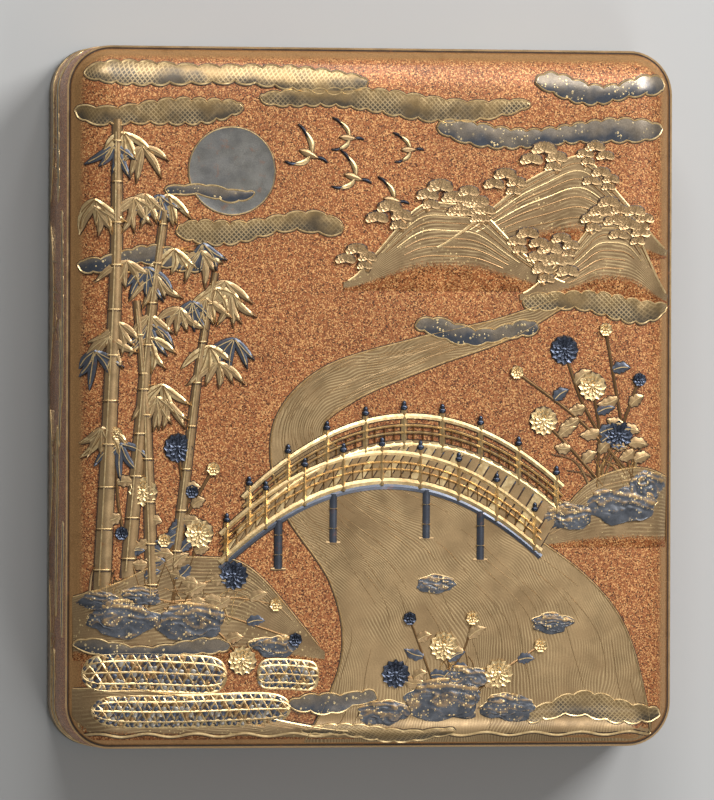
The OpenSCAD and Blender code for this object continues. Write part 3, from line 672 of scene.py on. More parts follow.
def stamp(bm, shape, x, y, z, sx, sy, sz, turn):
    """Adds a copy of a shape at a place, with its own size and turn in plan."""
    copy = shape.copy()
    sized = Matrix.Rotation(turn, 4, "Z") @ Matrix.Diagonal((sx, sy, sz, 1))
    copy.transform(Matrix.Translation((x, y, z)) @ sized)
    bm.from_mesh(copy)
    bpy.data.meshes.remove(copy)


class Relief:
    """Raised work of one motif, a mesh for each finish, drawn flat with z as its height and
    laid on its face at the end."""

    def __init__(self, motif):
        self.motif, self.parts = motif, {}
        self.bead, self.big_bead = small_shape("bead", 8, 5), small_shape("bead", 12, 7)

    def of(self, finish):
        if finish not in self.parts:
            self.parts[finish] = bmesh.new()
            for name in ("gilding", "flow"):
                self.parts[finish].verts.layers.float.new(name)
        return self.parts[finish]

    def sheet(self, finish, nu, nv, place, foot=SEAT, gilding=None, flow=None):
        """A closed raised sheet: place(u 0..1, w -1..1) gives x, y and the height of its top. The
        other two rules fill the attributes that its finish reads."""
        bm = self.of(finish)
        rules = (("gilding", gilding), ("flow", flow))
        rules = [(bm.verts.layers.float[name], rule) for name, rule in rules if rule]
        top = bmesh.ops.create_grid(bm, x_segments=nu, y_segments=nv, size=0.5)["verts"]
        for v in top:
            u, w = v.co.x + 0.5, v.co.y * 2
            v.co = Vector(place(u, w))
            for layer, rule in rules:
                v[layer] = rule(u, w)
        faces = list({f for v in top for f in v.link_faces})
        made = bmesh.ops.extrude_face_region(bm, geom=faces)["geom"]
        under = [g for g in made if isinstance(g, bmesh.types.BMVert)]
        for v in under:
            v.co.z = foot
        # Out is settled here, while the sheet is flat and its top has to face up: once it runs
        # round a corner of the lid, the operator can take its hollow side for the outer one.
        shell = list({f for v in [*top, *under] for f in v.link_faces})
        bmesh.ops.recalc_face_normals(bm, faces=shell)
        for f in faces:
            f.normal_update()
        if sum(f.normal.z * f.calc_area() for f in faces) < 0:
            bmesh.ops.reverse_faces(bm, faces=shell)

    def strip(
        self, finish, path, half, height, steps=12, across=2, bow=0.5, foot=SEAT, span=(0.0, 1.0), shade=0.0
    ):
        """A raised line along a path, its half width and height numbers or rules of u. Where shade
        is given, a line of painted shade at its foot reaches that much further to either side."""

        def place(u, w, spread=0.0):
            t = span[0] + (span[1] - span[0]) * u
            ahead = path(min(t + 0.004, 1)) - path(max(t - 0.004, 0))
            side = Vector((-ahead.y, ahead.x)).normalized()
            p = path(t) + side * ((half(u) if callable(half) else half) + spread) * w
            rise = height(u) if callable(height) else height
            return p.x, p.y, foot + (rise - foot) * (1 - bow * w * w)

        self.sheet(finish, steps, across, place, foot)
        if shade:
            low = max(foot, 0) + SHADE_H
            self.sheet("grime", steps, 1, lambda u, w: (*place(u, w, shade)[:2], low))

    def line(self, finish, a, b, half, height, **more):
        a, b = Vector(a), Vector(b)
        more.setdefault("steps", max(2, int((b - a).length / 3)))
        self.strip(finish, lambda u: a.lerp(b, u), half, height, **more)

    def dot(self, finish, x, y, z, sx, sy, sz, turn=0.0, big=False):
        stamp(self.of(finish), self.big_bead if big else self.bead, x, y, z, sx, sy, sz, turn)

    def blade(self, finish, points, height, steps, shade=0.0):
        """A blade of grass that runs out to a point."""
        path = curve_through(points)
        self.strip(finish, path, lambda u: 0.36 * (1 - u) + 0.09, height, steps, shade=shade)

    def leaf(self, finish, root, tip, half, height, lobes=0.0, vein="bright_gold", sag=0.08):
        """A leaf from root to tip with a line of painted shade at its foot and a raised midrib."""
        root, tip = Vector(root), Vector(tip)
        ahead = tip - root
        middle = root.lerp(tip, 0.5) + Vector((-ahead.y, ahead.x)) * sag
        path = curve_through([root, middle, tip])

        def girth(u):
            notch = 1 - lobes + lobes * abs(math.cos(3.2 * math.pi * u))
            return 0.06 + half * math.sin(math.pi * min(u + 0.04, 1) ** 0.85) ** 0.75 * notch

        steps, across, shade = (16, 4, 0.4) if lobes else (9, 2, 0.26)
        self.strip(finish, path, girth, height, steps, across, bow=0.35, shade=shade)
        self.strip(vein, path, 0.16, height + 0.1, 6, across=1, bow=0, foot=0, span=(0.05, 0.85))

    def laid(self, face, body="lid", replaces=None, sharp=40):
        for finish, bm in self.parts.items():
            for v in bm.verts:
                v.co = face.lift(*v.co)
            node_names = (replaces or {}).get(finish, ())
            finish_piece(f"{self.motif}_{finish}", bm, finish, body, node_names, sharp, turn_out=False)


def block(bm, size, centre):
    made = bmesh.ops.create_cube(bm, size=1.0)["verts"]
    bmesh.ops.scale(bm, vec=size, verts=made)
    bmesh.ops.translate(bm, vec=centre, verts=made)
    return made


def rounded(bm, edges, radius, segments, clamp=False):
    bmesh.ops.bevel(
        bm,
        geom=edges,
        offset=radius,
        offset_type="OFFSET",
        segments=segments,
        profile=0.5,
        affect="EDGES",
        material=-1,
        clamp_overlap=clamp,
    )


def rounded_slab(bm, w, l, r, z0, z1, x=0.0, y=0.0, segments=10):
    """A board with rounded upright corners. Returns its top and bottom faces."""
    made = block(bm, (w, l, z1 - z0), (x, y, (z0 + z1) / 2))
    upright = {e for v in made for e in v.link_edges if abs(e.verts[0].co.z - e.verts[1].co.z) > 1e-4}
    rounded(bm, list(upright), r, segments)
    bm.normal_update()
    flat = [f for f in bm.faces if len(f.verts) > 4 and abs(f.normal.z) > 0.9]
    top = [f for f in flat if abs(f.calc_center_median().z - z1) < 1e-3]
    bottom = [f for f in flat if abs(f.calc_center_median().z - z0) < 1e-3]
    return top[-1], bottom[-1]


def soften(bm, offset, segments=2):
    """Rounds every sharp edge a little."""
    bm.normal_update()
    sharp = math.radians(40)
    edges = [e for e in bm.edges if len(e.link_faces) == 2 and e.calc_face_angle(0) > sharp]
    rounded(bm, edges, offset, segments, clamp=True)


def slab_ring(bm, w, l, r, t, z0, z1, x=0.0, y=0.0, segments=10):
    """Four boards bonded to one ring: a slab with its middle taken out."""
    top, bottom = rounded_slab(bm, w, l, r, z0, z1, x, y, segments)
    bmesh.ops.inset_region(bm, faces=[top, bottom], thickness=t, use_even_offset=True)
    rims = list(top.edges) + list(bottom.edges)
    bmesh.ops.delete(bm, geom=[top, bottom], context="FACES_ONLY")
    bmesh.ops.bridge_loops(bm, edges=rims)


def slice_up(bm, faces, step, low, high):
    """Cuts faces along a square grid so that they can bend."""
    for axis, normal in enumerate(((1, 0, 0), (0, 1, 0))):
        at = low[axis] + step
        while at < high[axis] - 0.2 * step:
            geom = set(faces) | {e for f in faces for e in f.edges} | {v for f in faces for v in f.verts}
            where = Vector(normal) * at
            cut = bmesh.ops.bisect_plane(bm, geom=list(geom), plane_co=where, plane_no=normal, dist=1e-5)
            faces = [g for g in cut["geom"] if isinstance(g, bmesh.types.BMFace)]
            at += step


# ---------------------------------------------------------------- lid

INWARD = 0.3  # the side boards stand back by this, mm, so that their raised work stays in the box
CASE_WALL = 4.0  # thickness of the walls of the case, mm
SHOULDER_STEPS = (0.15, 0.25, 0.4, 0.6, 0.8, 1.0, 1.2, 1.4, 1.6, 1.8, 2.0, 2.0)  # closest at the edge


def lid_boards():
    """The lid's sides, panel, edging and the two lines on its ledge."""
    face = LidFace()
    w, l, r = 2 * (face.half_x + mm("ledge_w")), 2 * (face.half_y + mm("ledge_w")), mm("corner_r")

    def ring(name, finish, back, wall, z0, z1, eased_by=0.0, segments=2, replaces=()):
        """A ring of even width that stands back from the lid's outline."""
        bm = bmesh.new()
        slab_ring(bm, w - 2 * back, l - 2 * back, r - back, wall, z0, z1, segments=14)
        if eased_by:
            soften(bm, eased_by, segments)
        finish_piece(name, bm, finish, "lid", replaces)

    low, high = place_of("lid_skirt")
    ring("lid_sides", "nashiji", INWARD, mm("skirt_t") - INWARD, low.z, high.z, 0.35, 2, ["lid_skirt"])
    low, high = place_of("lid_rim")
    ring("lid_edging", "pewter", 0, mm("skirt_t"), low.z, high.z, 0.4, 3, ["lid_rim"])

    # The crowned panel: the shoulder is drawn in ring by ring, the middle is cut into a grid. Below,
    # a flat band bears on the skirt and on the case, and a dish follows the crown inside it.
    bm = bmesh.new()
    gild = bm.verts.layers.float.new("gilding")
    top, bottom = rounded_slab(bm, 2 * face.half_x, 2 * face.half_y, face.corner, 0, 1, segments=14)
    band = mm("skirt_t") - mm("ledge_w") + mm("lid_gap") + (CASE_WALL + 0.5)
    dish = 8.0
    total = round(sum(SHOULDER_STEPS), 6)
    for step in SHOULDER_STEPS:
        bmesh.ops.inset_region(bm, faces=[top], thickness=step * face.width / total, use_even_offset=True)
    for step in (band, 0.05 * dish, 0.15 * dish, 0.3 * dish, 0.5 * dish):
        bmesh.ops.inset_region(bm, faces=[bottom], thickness=step, use_even_offset=True)
    for middle in (top, bottom):
        slice_up(bm, [middle], 9.0, (-face.half_x, -face.half_y), (face.half_x, face.half_y))
    for v in bm.verts:
        x, y = v.co.x, v.co.y
        if v.co.z > 0.5:  # the upper face, where smooth gold runs in from the edge
            drift = 0.12 * noise.noise(Vector((x, y, 0)) / 22)
            v[gild] = max(0.92 - face.inset(x, y) / 8.5, 0) + drift
            v.co.z = face.height(x, y)
        else:
            v.co.z = face.ceiling(x, y, band, dish)
    finish_piece("lid_crown", bm, "nashiji", "lid", ["lid_panel"], sharp=40)

    # On the ledge a gold line, and a ring of painted shadow where the panel rises from it.
    z = face.seat
    ring("ledge_line", "pale_gold", INWARD + 0.05, 0.62, z - 0.05, z + 0.12)
    ring("ledge_painted_shadow", "grime", 1.0, 0.6, z - 0.05, z + 0.05)


class WRITINGBOX_OT_lid(bpy.types.Operator):
    """Lid sides, crowned panel, edging and ledge lines"""

    bl_idname = "writingbox.lid"
    bl_label = "Lid"

    def execute(self, context):
        lid_boards()
        return {"FINISHED"}


# ---------------------------------------------------------------- picture on the lid


def scallop(t):
    """The edge of a mist band: lobes of length 1 between sharp notches."""
    return abs(math.sin(math.pi * t)) ** 0.55


def mist_band(work, finish, x0, x1, y, half, height, seed):
    """A drifting band of mist with scalloped edges and fine raised rims."""
    pitch = 6.4

    def edge(u, w):
        x = x0 + (x1 - x0) * u
        taper = max(1 - abs(2 * u - 1) ** 6, 0.0) ** 0.45
        sway = 0.4 * half * math.sin(u * 5.1 + seed)
        side = 1 if w > 0 else -1
        lobe = scallop(x / pitch + 0.8 * side + 0.5 * math.sin(x / 17 + seed))
        deep = 0.6 + 0.3 * math.sin(u * 8 + seed * 3 + side)
        return Vector((x, y + sway + w * half * max(taper * (deep + 0.32 * lobe), 0.02)))

    def place(u, w):
        return (*edge(u, w), height * (1 - 0.3 * abs(w) ** 5))

    steps = max(16, int((x1 - x0) / 0.8))
    work.sheet(finish, steps, max(4, int(half)), place, flow=lambda u, w: 0.5 + 0.5 * w)
    for side in (-0.97, 0.97):
        rim = mm("line_w")
        work.strip("bright_gold", lambda u: edge(u, side), rim, height + 0.16, steps, foot=0, shade=0.3)


MIST = [
    # metal, x from, x to, y, half width, seed
    ("gold", -104, -3, 113.4, 4.5, 0.3),
    ("gold", -42, 56, 104.6, 4.4, 1.1),
    ("silver", 22, 105, 94.7, 4.4, 2.4),
    ("silver", 58, 106, 110.7, 4.2, 2.0),
    ("gold", -107, -48, 100.9, 4.6, 3.0),
    ("gold", -72, -12, 59.7, 4.3, 4.2),
    ("silver", -76, -44, 72.5, 2.4, 0.9),
    ("silver", -106, -60, 48, 3.6, 5.0),
    ("gold", 53, 107.4, 33.5, 4.4, 0.8),
    ("silver", 14, 59, 24.0, 3.7, 1.9),
    ("silver", -107, -52, -88.5, 3.0, 2.2),
    ("silver", -31, 1, -107.6, 3.7, 3.6),
    ("gold", 55, 105, -111.3, 4.6, 5.4),
    ("gold", -26, 30, -118.4, 2.4, 1.3),
]


def mist(face):
    work = Relief("mist")
    for n, (metal, x0, x1, y, half, seed) in enumerate(MIST):
        mist_band(work, f"mist_{metal}", x0, x1, y, half, 0.4 + 0.02 * (n % 4), seed)
    work.laid(face, replaces={"mist_gold": ["lid_relief_gold"], "mist_silver": ["lid_relief_silver"]})


def rise_of_land(x0, x1, base, top, summit, steep, high):
    """A hill or bank: place(u, w) runs along it and from its foot to its crest."""

    def crest(u):
        t = u / summit if u < summit else (1 - u) / (1 - summit)
        wobble = 1.5 * math.sin(u * 11 + x0) + 0.8 * math.sin(u * 23 + base)
        return base + 3 + (top - base) * smooth(t) ** (steep / 2) + wobble * smooth(t)

    def at(u, w):
        t = (w + 1) / 2
        return x0 + (x1 - x0) * u, base + (crest(u) - base) * t, 0.08 + high * smooth(t) ** 1.5

    return at


def clump(work, petal, x, y, rx, ry, z):
    """A flat cloud of pine needles: two rows of lobes spread like a fan, with a ray down each."""
    # A dark disc of painted shade lies under the needles.
    work.dot("grime", x, y + ry * 0.3, z - 0.12, rx * 1.02, ry * 0.85, 0.2, big=True)
    foot = y - ry * 0.25
    for count, reach, low in ((7, 1.0, 0.0), (5, 0.62, 0.12)):
        for n in range(count):
            a = math.pi * (0.03 + 0.94 * n / (count - 1))
            far = reach / math.hypot(math.cos(a) / rx, math.sin(a) / (ry * 1.35))
            wide = far * 0.95 / math.sqrt(count * 0.4)
            stamp(work.of("pale_gold"), petal, x, foot, z + low - 0.1, far, wide, 0.4, a)
            tip = (x + far * 0.8 * math.cos(a), foot + far * 0.8 * math.sin(a))
            work.line("bright_gold", (x, y - ry * 0.2), tip, 0.09, z + low + 0.34, steps=2, across=1, foot=z)


CLOUDS = [
    # place beside the top of the trunk and above its foot, half width, half height
    (0, 8.0, 4.4, 2.5),
    (-4.2, 5.2, 3.8, 2.2),
    (4.3, 4.4, 4.0, 2.2),
    (-3.0, 2.0, 3.0, 1.8),
]


def pine(work, petal, x, y, size, z, lean):
    """A small spreading pine: a bent trunk and flat clouds of needles."""
    top = Vector((x + lean * 4 * size, y + 7.5 * size))
    path = curve_through([(x, y), (x - lean * 1.2 * size, y + 3 * size), top])
    work.strip("old_gold", path, lambda u: size * (0.8 - 0.45 * u), z + 0.3, 8, shade=0.22, foot=z - 0.2)
    for dx, dy, rx, ry in CLOUDS:
        at = top.x + lean * dx * size
        clump(work, petal, at, y + dy * size, rx * size, ry * size, z + 0.15)


HILLS = [
    # left, right, base y, top y, where the summit is, steepness, trees along the crest
    (20, 107.4, 50, 81, 0.60, 1.5, (0.2, 0.34, 0.5, 0.63, 0.76, 0.9)),
    (-12, 70, 38, 68, 0.42, 1.7, (0.12, 0.25, 0.38, 0.5, 0.62, 0.75, 0.88)),
    (52, 107.4, 34, 62, 0.66, 1.6, (0.15, 0.32, 0.48, 0.64, 0.8)),
]


def hills(face):
    work, trees = Relief("hill"), Relief("hill_pine")
    petal = small_shape("petal")
    rng = random.Random(5)
    for k, (x0, x1, base, top, summit, steep, stand) in enumerate(HILLS):
        at = rise_of_land(x0, x1, base, top, summit, steep, 0.46)
        up = 0.07 * k

        def lifted(u, w):
            x, y, h = at(u, w)
            return x, y, h + up

        half_rise = (top - base) / 2
        work.sheet(
            "faded_gold",
            72,
            20,
            lifted,
            gilding=lambda u, w: smooth((w + 1.1) / 1.6) * 1.3,
            flow=lambda u, w: w * half_rise,
        )
        for n in range(8):
            v = 1 - 0.13 * n - 0.006 * n * n
            start = 0.02 + (rng.uniform(0.02, 0.08) + 0.035 * n if n else 0)
            stop = 0.98 - (rng.uniform(0.02, 0.08) + 0.035 * n if n else 0)
            work.strip(
                "bright_gold" if n in (0, 2, 4) else "old_gold",
                lambda u: Vector(at(u, v)[:2]),
                mm("line_w") * (1.1 if n == 0 else 0.6),
                lambda u: at(start + (stop - start) * u, v)[2] + 0.2 + up,
                64,
                bow=0.15,
                span=(start, stop),
            )
        for u in stand:
            x, y, h = at(u + rng.uniform(-0.02, 0.02), 0.96)
            pine(trees, petal, x, y - 2.4, rng.uniform(0.85, 1.15), h + up, rng.choice((-1, 1)))
    work.laid(face, replaces={"faded_gold": ["lid_relief_gold"]})
    trees.laid(face)


def disc(work, finish, x, y, r, height):
    """A round plate with a raised rim, cut up so that it follows the lid."""
    bm = work.of(finish)
    place = Matrix.Translation((x, y, SEAT))
    made = bmesh.ops.create_circle(bm, cap_ends=True, segments=72, radius=r, matrix=place)["verts"]
    floor = list({f for v in made for f in v.link_faces})
    risen = bmesh.ops.extrude_face_region(bm, geom=floor)["geom"]
    cap = [g for g in risen if isinstance(g, bmesh.types.BMFace)]
    bmesh.ops.translate(bm, vec=(0, 0, height - SEAT), verts=list({v for f in cap for v in f.verts}))
    bmesh.ops.inset_region(bm, faces=cap, thickness=0.7, depth=-0.1)
    slice_up(bm, cap, 5.0, (x - r, y - r), (x + r, y + r))
    bmesh.ops.recalc_face_normals(bm, faces=bm.faces)


def goose(work, x, y, size, turn):
    """A wild goose in flight, drawn with six strokes."""
    c, s = math.cos(turn), math.sin(turn)

    def stroke(finish, points, half, height):
        put = [(x + size * (px * c - py * s), y + size * (px * s + py * c)) for px, py in points]

        def girth(u):
            return size * half * (0.12 + math.sin(math.pi * u) ** 0.7)

        work.strip(finish, curve_through(put), girth, height, 12, across=4, shade=0.22)

    stroke("pale_gold", [(-4.6, -0.4), (-1, 0), (3.4, 0.3)], 1.15, 0.85)
    stroke("blued", [(2.4, 0.2), (5, 0.9), (7.6, 0.5)], 0.5, 0.7)
    stroke("bright_gold", [(0.6, 0.2), (-1.6, 4.2), (-6.2, 7.4)], 0.95, 0.75)
    stroke("bright_gold", [(0.4, -0.2), (-0.6, -3.6), (-4.4, -6.6)], 0.85, 0.6)
    stroke("blued", [(-3.4, 5.0), (-6.4, 7.2), (-9.6, 8.2)], 0.5, 0.8)
    stroke("blued", [(-2.4, -5.0), (-4.8, -6.6), (-7.6, -7.0)], 0.45, 0.65)


def sky(face):
    work = Relief("moon")
    x, y, r = -52, 80, 15.5
    disc(work, "moon", x, y, r, 0.36)
    turns = [math.tau * n / 16 for n in range(17)]
    around = [Vector((x + (r - 0.1) * math.cos(a), y + (r - 0.1) * math.sin(a))) for a in turns]
    work.strip("bright_gold", curve_through(around), 0.32, 0.42, 120, shade=0.2)
    work.laid(face, replaces={"moon": ["lid_relief_silver"]})
    flock = Relief("geese")
    for n, (x, y) in enumerate(((-24, 86), (-8, 78), (6, 70), (-10, 92), (12, 88))):
        goose(flock, x, y, 0.92 - 0.06 * n, math.radians(-28 + 6 * n))
    flock.laid(face)


# The stream's banks, from its head behind the mist to the foot of the lid
LEFT_BANK = [
    (66, 35.5), (44, 28), (14, 21), (-20, 10), (-37, -10), (-34, -38), (-16, -66), (-12, -92), (-24, -122.2),
]
RIGHT_BANK = [
    (69, 33), (48, 21), (20, 11), (-8, -1), (-19, -13), (6, -27), (52, -46), (88, -76), (103, -122.2),
]


def stream(face):
    """A stream that widens towards the foot, between two banks."""
    left, right = curve_through(LEFT_BANK), curve_through(RIGHT_BANK)

    def water(u, w):
        return Vector(left(u)).lerp(right(u), (w + 1) / 2)

    def wide(u):
        return (right(u) - left(u)).length / 2

    work = Relief("stream")
    work.sheet(
        "water",
        90,
        34,
        lambda u, w: (*water(u, w), 0.16),
        gilding=lambda u, w: 1.5 - 0.75 * abs(w) ** 9,
        flow=lambda u, w: w * wide(u),
    )

    def thin(u):
        return 0.16 * math.sin(math.pi * u) + 0.03

    rng = random.Random(11)
    for n in range(24):
        v = -0.95 + 1.9 * n / 23
        u0 = 0.06 + 0.3 * abs(v) + rng.uniform(0, 0.1)
        while u0 < 0.95:
            u1 = min(u0 + rng.uniform(0.06, 0.16), 0.985)
            phase = rng.uniform(0, 6)

            def ripple(u):
                return water(u, v + 0.02 * math.sin(u * 50 + phase))

            steps = max(6, int((u1 - u0) * 120))
            work.strip("pale_gold", ripple, thin, 0.26, steps, span=(u0, u1), foot=0)
            u0 = u1 + rng.uniform(0.06, 0.2)
    for side in (-1, 1):
        work.strip("bright_gold", lambda u: water(u, side), 0.3, 0.5, 150, span=(0.0, 0.995), shade=0.3)
    work.laid(face)


def bridge(face):
    """An arched plank bridge with two railings, drawn in slanting view."""
    work = Relief("bridge")
    left, span, rise, deep = Vector((-56, -57)), 116, 27, Vector((8, 13))

    def deck(t, up=0.0, back=0.0):
        return left + Vector((span * t, rise * 4 * t * (1 - t) + 4 * t + up)) + deep * back

    for t in (0.18, 0.35, 0.64, 0.81):
        top = deck(t, -3)
        foot = top - Vector((0, 17.2))
        work.line("blued_powder", top, foot, 1.3, 1.05, across=6, bow=0.6, shade=0.3)
        for up in (5, 12):
            tie = foot + Vector((0, up))
            work.line("bright_gold", tie - Vector((1.4, 0)), tie + Vector((1.4, 0)), 0.28, 1.15, steps=4)
        ripple = Vector((2.6, 0))
        work.line("pale_gold", foot - ripple, foot + ripple, 0.4, 0.45, steps=4, shade=0.2)
    # A dark sheet of painted shade under the planks shows in the gaps between them.
    work.sheet("grime", 60, 2, lambda u, w: (*deck(u, -0.4 + 0.8 * (w + 1) / 2, (w + 1) / 2), 0.45))
    count = 36
    for n in range(count):
        t0, t1 = (n + 0.08) / count, (n + 0.92) / count

        def plank(u, w):
            return (*deck(t0 + (t1 - t0) * u, 0, (w + 1) / 2), 0.78 - 0.12 * abs(2 * u - 1))

        work.sheet("pale_gold" if n % 3 else "bright_gold", 2, 6, plank)
    for back in (1.0, 0.0):
        z = 0.25 if back == 0 else 0.0
        work.strip("blued_powder", lambda t: deck(t, -3.4, back), 1.0, 0.6 + z, 60, shade=0.4)
        work.strip("bright_gold", lambda t: deck(t, -1.4, back), 1.15, 1.0 + z, 60, bow=0.6, shade=0.3)
        for up, half in ((8.6, 0.85), (5.3, 0.42), (2.8, 0.42)):
            work.strip("bright_gold", lambda t: deck(t, up, back), half, 1.1 + z, 60, foot=0.1, shade=0.3)
        for n in range(33):
            t = 0.02 + 0.96 * n / 32
            if n % 4:
                work.line("pale_gold", deck(t, 0.2, back), deck(t, 5.3, back), 0.3, 0.95 + z, steps=2)
                continue
            foot, head = deck(t, -3.0, back), deck(t, 10.6, back)
            work.line("bright_gold", foot, head, 1.0, 1.2 + z, bow=0.7, shade=0.35)
            top = deck(t, 11.4, back)
            work.dot("blued", top.x, top.y + 0.2, 0.4 + z, 1.35, 1.0, 0.95, big=True)
            work.dot("blued", top.x, top.y + 1.5, 0.4 + z, 0.85, 1.25, 0.8, big=True)
    work.laid(face, replaces={"pale_gold": ["lid_relief_gold"], "blued_powder": ["lid_relief_silver"]})


CULMS = [
    # foot, head, half width
    ((-98, -70), (-93, 98), 2.9),
    ((-89, -64), (-76, 66), 2.5),
    ((-80, -72), (-86, 34), 2.2),
    ((-72, -60), (-58, 44), 1.9),
]
TWIGS = [
    (-93, 88), (-97, 66), (-79, 70), (-90, 44), (-72, 52), (-60, 40),
    (-78, 26), (-99, 22), (-60, 16), (-84, 4), (-101, -12), (-68, 32),
]


def bamboo(face):
    """Four culms with their joints, and three fans of five leaves at each twig."""
    work = Relief("bamboo")
    rng = random.Random(3)
    for n, (foot, head, half) in enumerate(CULMS):
        a, b = Vector(foot), Vector(head)
        bend = Vector((1.2 * (-1) ** n, 0))
        path = curve_through([a, a.lerp(b, 0.35) + bend * 0.6, a.lerp(b, 0.7) + bend, b])
        high = 1.15 - 0.08 * n

        def girth(u):
            return half * (1 - 0.45 * u)

        def rounding(u):
            return high * smooth(0.3 + 9 * u)

        work.strip("pale_gold", path, girth, rounding, 90, across=6, bow=0.8, shade=0.4)
        gap, t = 13.5 / (b - a).length, 0.05
        while t < 0.98:
            p, size = path(t), girth(t)
            work.dot("bright_gold", p.x, p.y + 0.35, 0.4, size * 1.18, 0.42, 0.95 - 0.05 * n, big=True)
            # Just below each joint's ridge, a dark bar of painted shade.
            work.dot("grime", p.x, p.y - 0.25, 0.35, size * 1.05, 0.28, 0.86 - 0.05 * n, big=True)
            gap *= 1.02
            t += gap

        # A bright gold line down the left of each culm is a painted highlight.
        def glint(u):
            return path(u) - Vector((0.35 * girth(u), 0))

        work.strip("bright_gold", glint, 0.2, high + 0.02, 90, across=1, bow=0, foot=0, span=(0.02, 0.97))
    for n, (x, y) in enumerate(TWIGS):
        for k in range(3):
            cx, cy = x + rng.uniform(-5, 11), y + rng.uniform(-6, 6)
            work.line("bright_gold", (x, y), (cx, cy), 0.25, 0.6)
            for leaf in range(5):
                angle = math.radians(-90 + rng.uniform(-10, 10) + (leaf - 2) * 27)
                size = rng.uniform(9, 14)
                tip = (max(cx + size * math.cos(angle), -105.5), cy + size * math.sin(angle))
                finish = ("blued_powder", "pale_gold", "bright_gold", "pale_gold")[(n + k) % 4]
                vein = "bright_gold" if finish != "bright_gold" else "old_gold"
                sag = rng.uniform(-0.12, 0.12)
                work.leaf(finish, (cx, cy), tip, 1.25, 0.72 + 0.07 * leaf, vein=vein, sag=sag)
    work.laid(face, replaces={"pale_gold": ["lid_relief_gold"]})


# Places of the inlaid flowers, in hundredths of the panel's half width and half length
GOLD_FLOWERS = [(-77, -27), (-58.5, -39), (-44, -75.5), (23, -71.5), (41.5, -79.5), (72.5, 3.5), (56, -6.5)]
GOLD_BUDS = [
    (-86, -10.5), (-54, -20.5), (-70, -41), (-33, -59.5), (32.5, -63.5), (55.5, -71.5), (77, 20), (47, 7.5),
]
SILVER_FLOWERS = [(-65.5, -14.5), (-47, -51), (7, -79.5), (81.5, -10.5), (63, 14)]
SILVER_BUDS = [(-84, -39), (-61, -27), (-26.5, -69.5), (11.5, -63.5), (88.5, 5.5)]

# Rings of petals: how many, how far they reach, where they start and end in height, how wide they are
OPEN_RINGS = ((12, 1.0, 0.0, 0.75, 0.5), (11, 0.7, 0.25, 1.0, 0.44), (7, 0.42, 0.5, 1.1, 0.42))
BUD_RINGS = ((7, 1.0, 0.0, 0.95, 0.85), (5, 0.6, 0.3, 1.1, 0.7))

GRASSES = [
    # x, y, blades, reach
    (88, -34, 16, 26),
    (-60, -78, 12, 22),
    (-94, -76, 10, 20),
    (30, -104, 10, 20),
]


def flower_places(face, places):
    return [(face.half_x * x / 100, face.half_y * y / 100) for x, y in places]


def chrysanthemum(work, finish, petal, x, y, r, rings=BUD_RINGS):
    """Rings of spoon-shaped petals around a domed, beaded middle."""
    bm = work.of(finish)
    # A dark disc of painted shade under the petals shows round the flower's rim.
    work.dot("grime", x, y, 0.0, r * 1.06, r * 1.06, 0.22, big=True)
    for count, reach, low, high, wide in rings:
        for n in range(count):
            turn = 2 * math.pi * (n + 0.25 * count % 1) / count
            stamp(bm, petal, x, y, low, r * reach, r * wide * reach, high - low, turn)
    work.dot(finish, x, y, 0.7, r * 0.2, r * 0.2, 0.5)


def flowers(face):
    """The inlaid flowers, the stems and leaves that carry them, and grasses at their roots."""
    petal = small_shape("petal")
    for metal, open_rows, bud_rows, finish in (
        ("gold", GOLD_FLOWERS, GOLD_BUDS, "bright_gold"),
        ("silver", SILVER_FLOWERS, SILVER_BUDS, "blued"),
    ):
        work = Relief(f"flowers_{metal}")
        for x, y in flower_places(face, open_rows):
            chrysanthemum(work, finish, petal, x, y, 5.15, OPEN_RINGS)
        for x, y in flower_places(face, bud_rows):
            chrysanthemum(work, finish, petal, x, y, 2.4)
        work.laid(face, replaces={finish: [f"lid_flowers_{metal}"]})

    work = Relief("spray")
    rng = random.Random(21)
    for x, y in flower_places(face, GOLD_FLOWERS + SILVER_FLOWERS + GOLD_BUDS + SILVER_BUDS):
        head = Vector((x, y))
        root = Vector((88, -30) if x > 40 and y > -40 else (28, -108) if x > -20 else (-76, -73))
        root += Vector((rng.uniform(-8, 8), rng.uniform(-2, 3)))
        middle = root.lerp(head, 0.5) + Vector((rng.uniform(-4, 4), 2))
        path = curve_through([root, middle, head])
        work.strip("old_gold", path, 0.42, 0.5, 24, shade=0.2)
        for k in range(3):
            p = path(0.3 + 0.2 * k)
            angle = rng.uniform(-0.4, 0.7) + (math.pi if k % 2 else 0)
            size = rng.uniform(5.5, 8.0)
            tip = p + Vector((math.cos(angle), math.sin(angle))) * size
            finish = "pale_gold" if rng.random() < 0.6 else "blued_powder"
            work.leaf(finish, p, tip, 2.1, 0.62, lobes=0.34)
    for x, y, count, reach in GRASSES:
        for n in range(count):
            root = Vector((x + rng.uniform(-9, 9), y + rng.uniform(-3, 2)))
            lean = rng.uniform(-1, 1)
            size = reach * rng.uniform(0.6, 1.0)
            tip = root + Vector((lean * size * 0.75, size * (0.95 - 0.45 * abs(lean))))
            middle = root.lerp(tip, 0.55) + Vector((-lean * 2.5, size * 0.14))
            if abs(tip.x) < 106:
                finish = "bright_gold" if n % 3 else "pale_gold"
                work.blade(finish, [root, middle, tip], 0.45, 16, shade=0.16)
    work.laid(face)


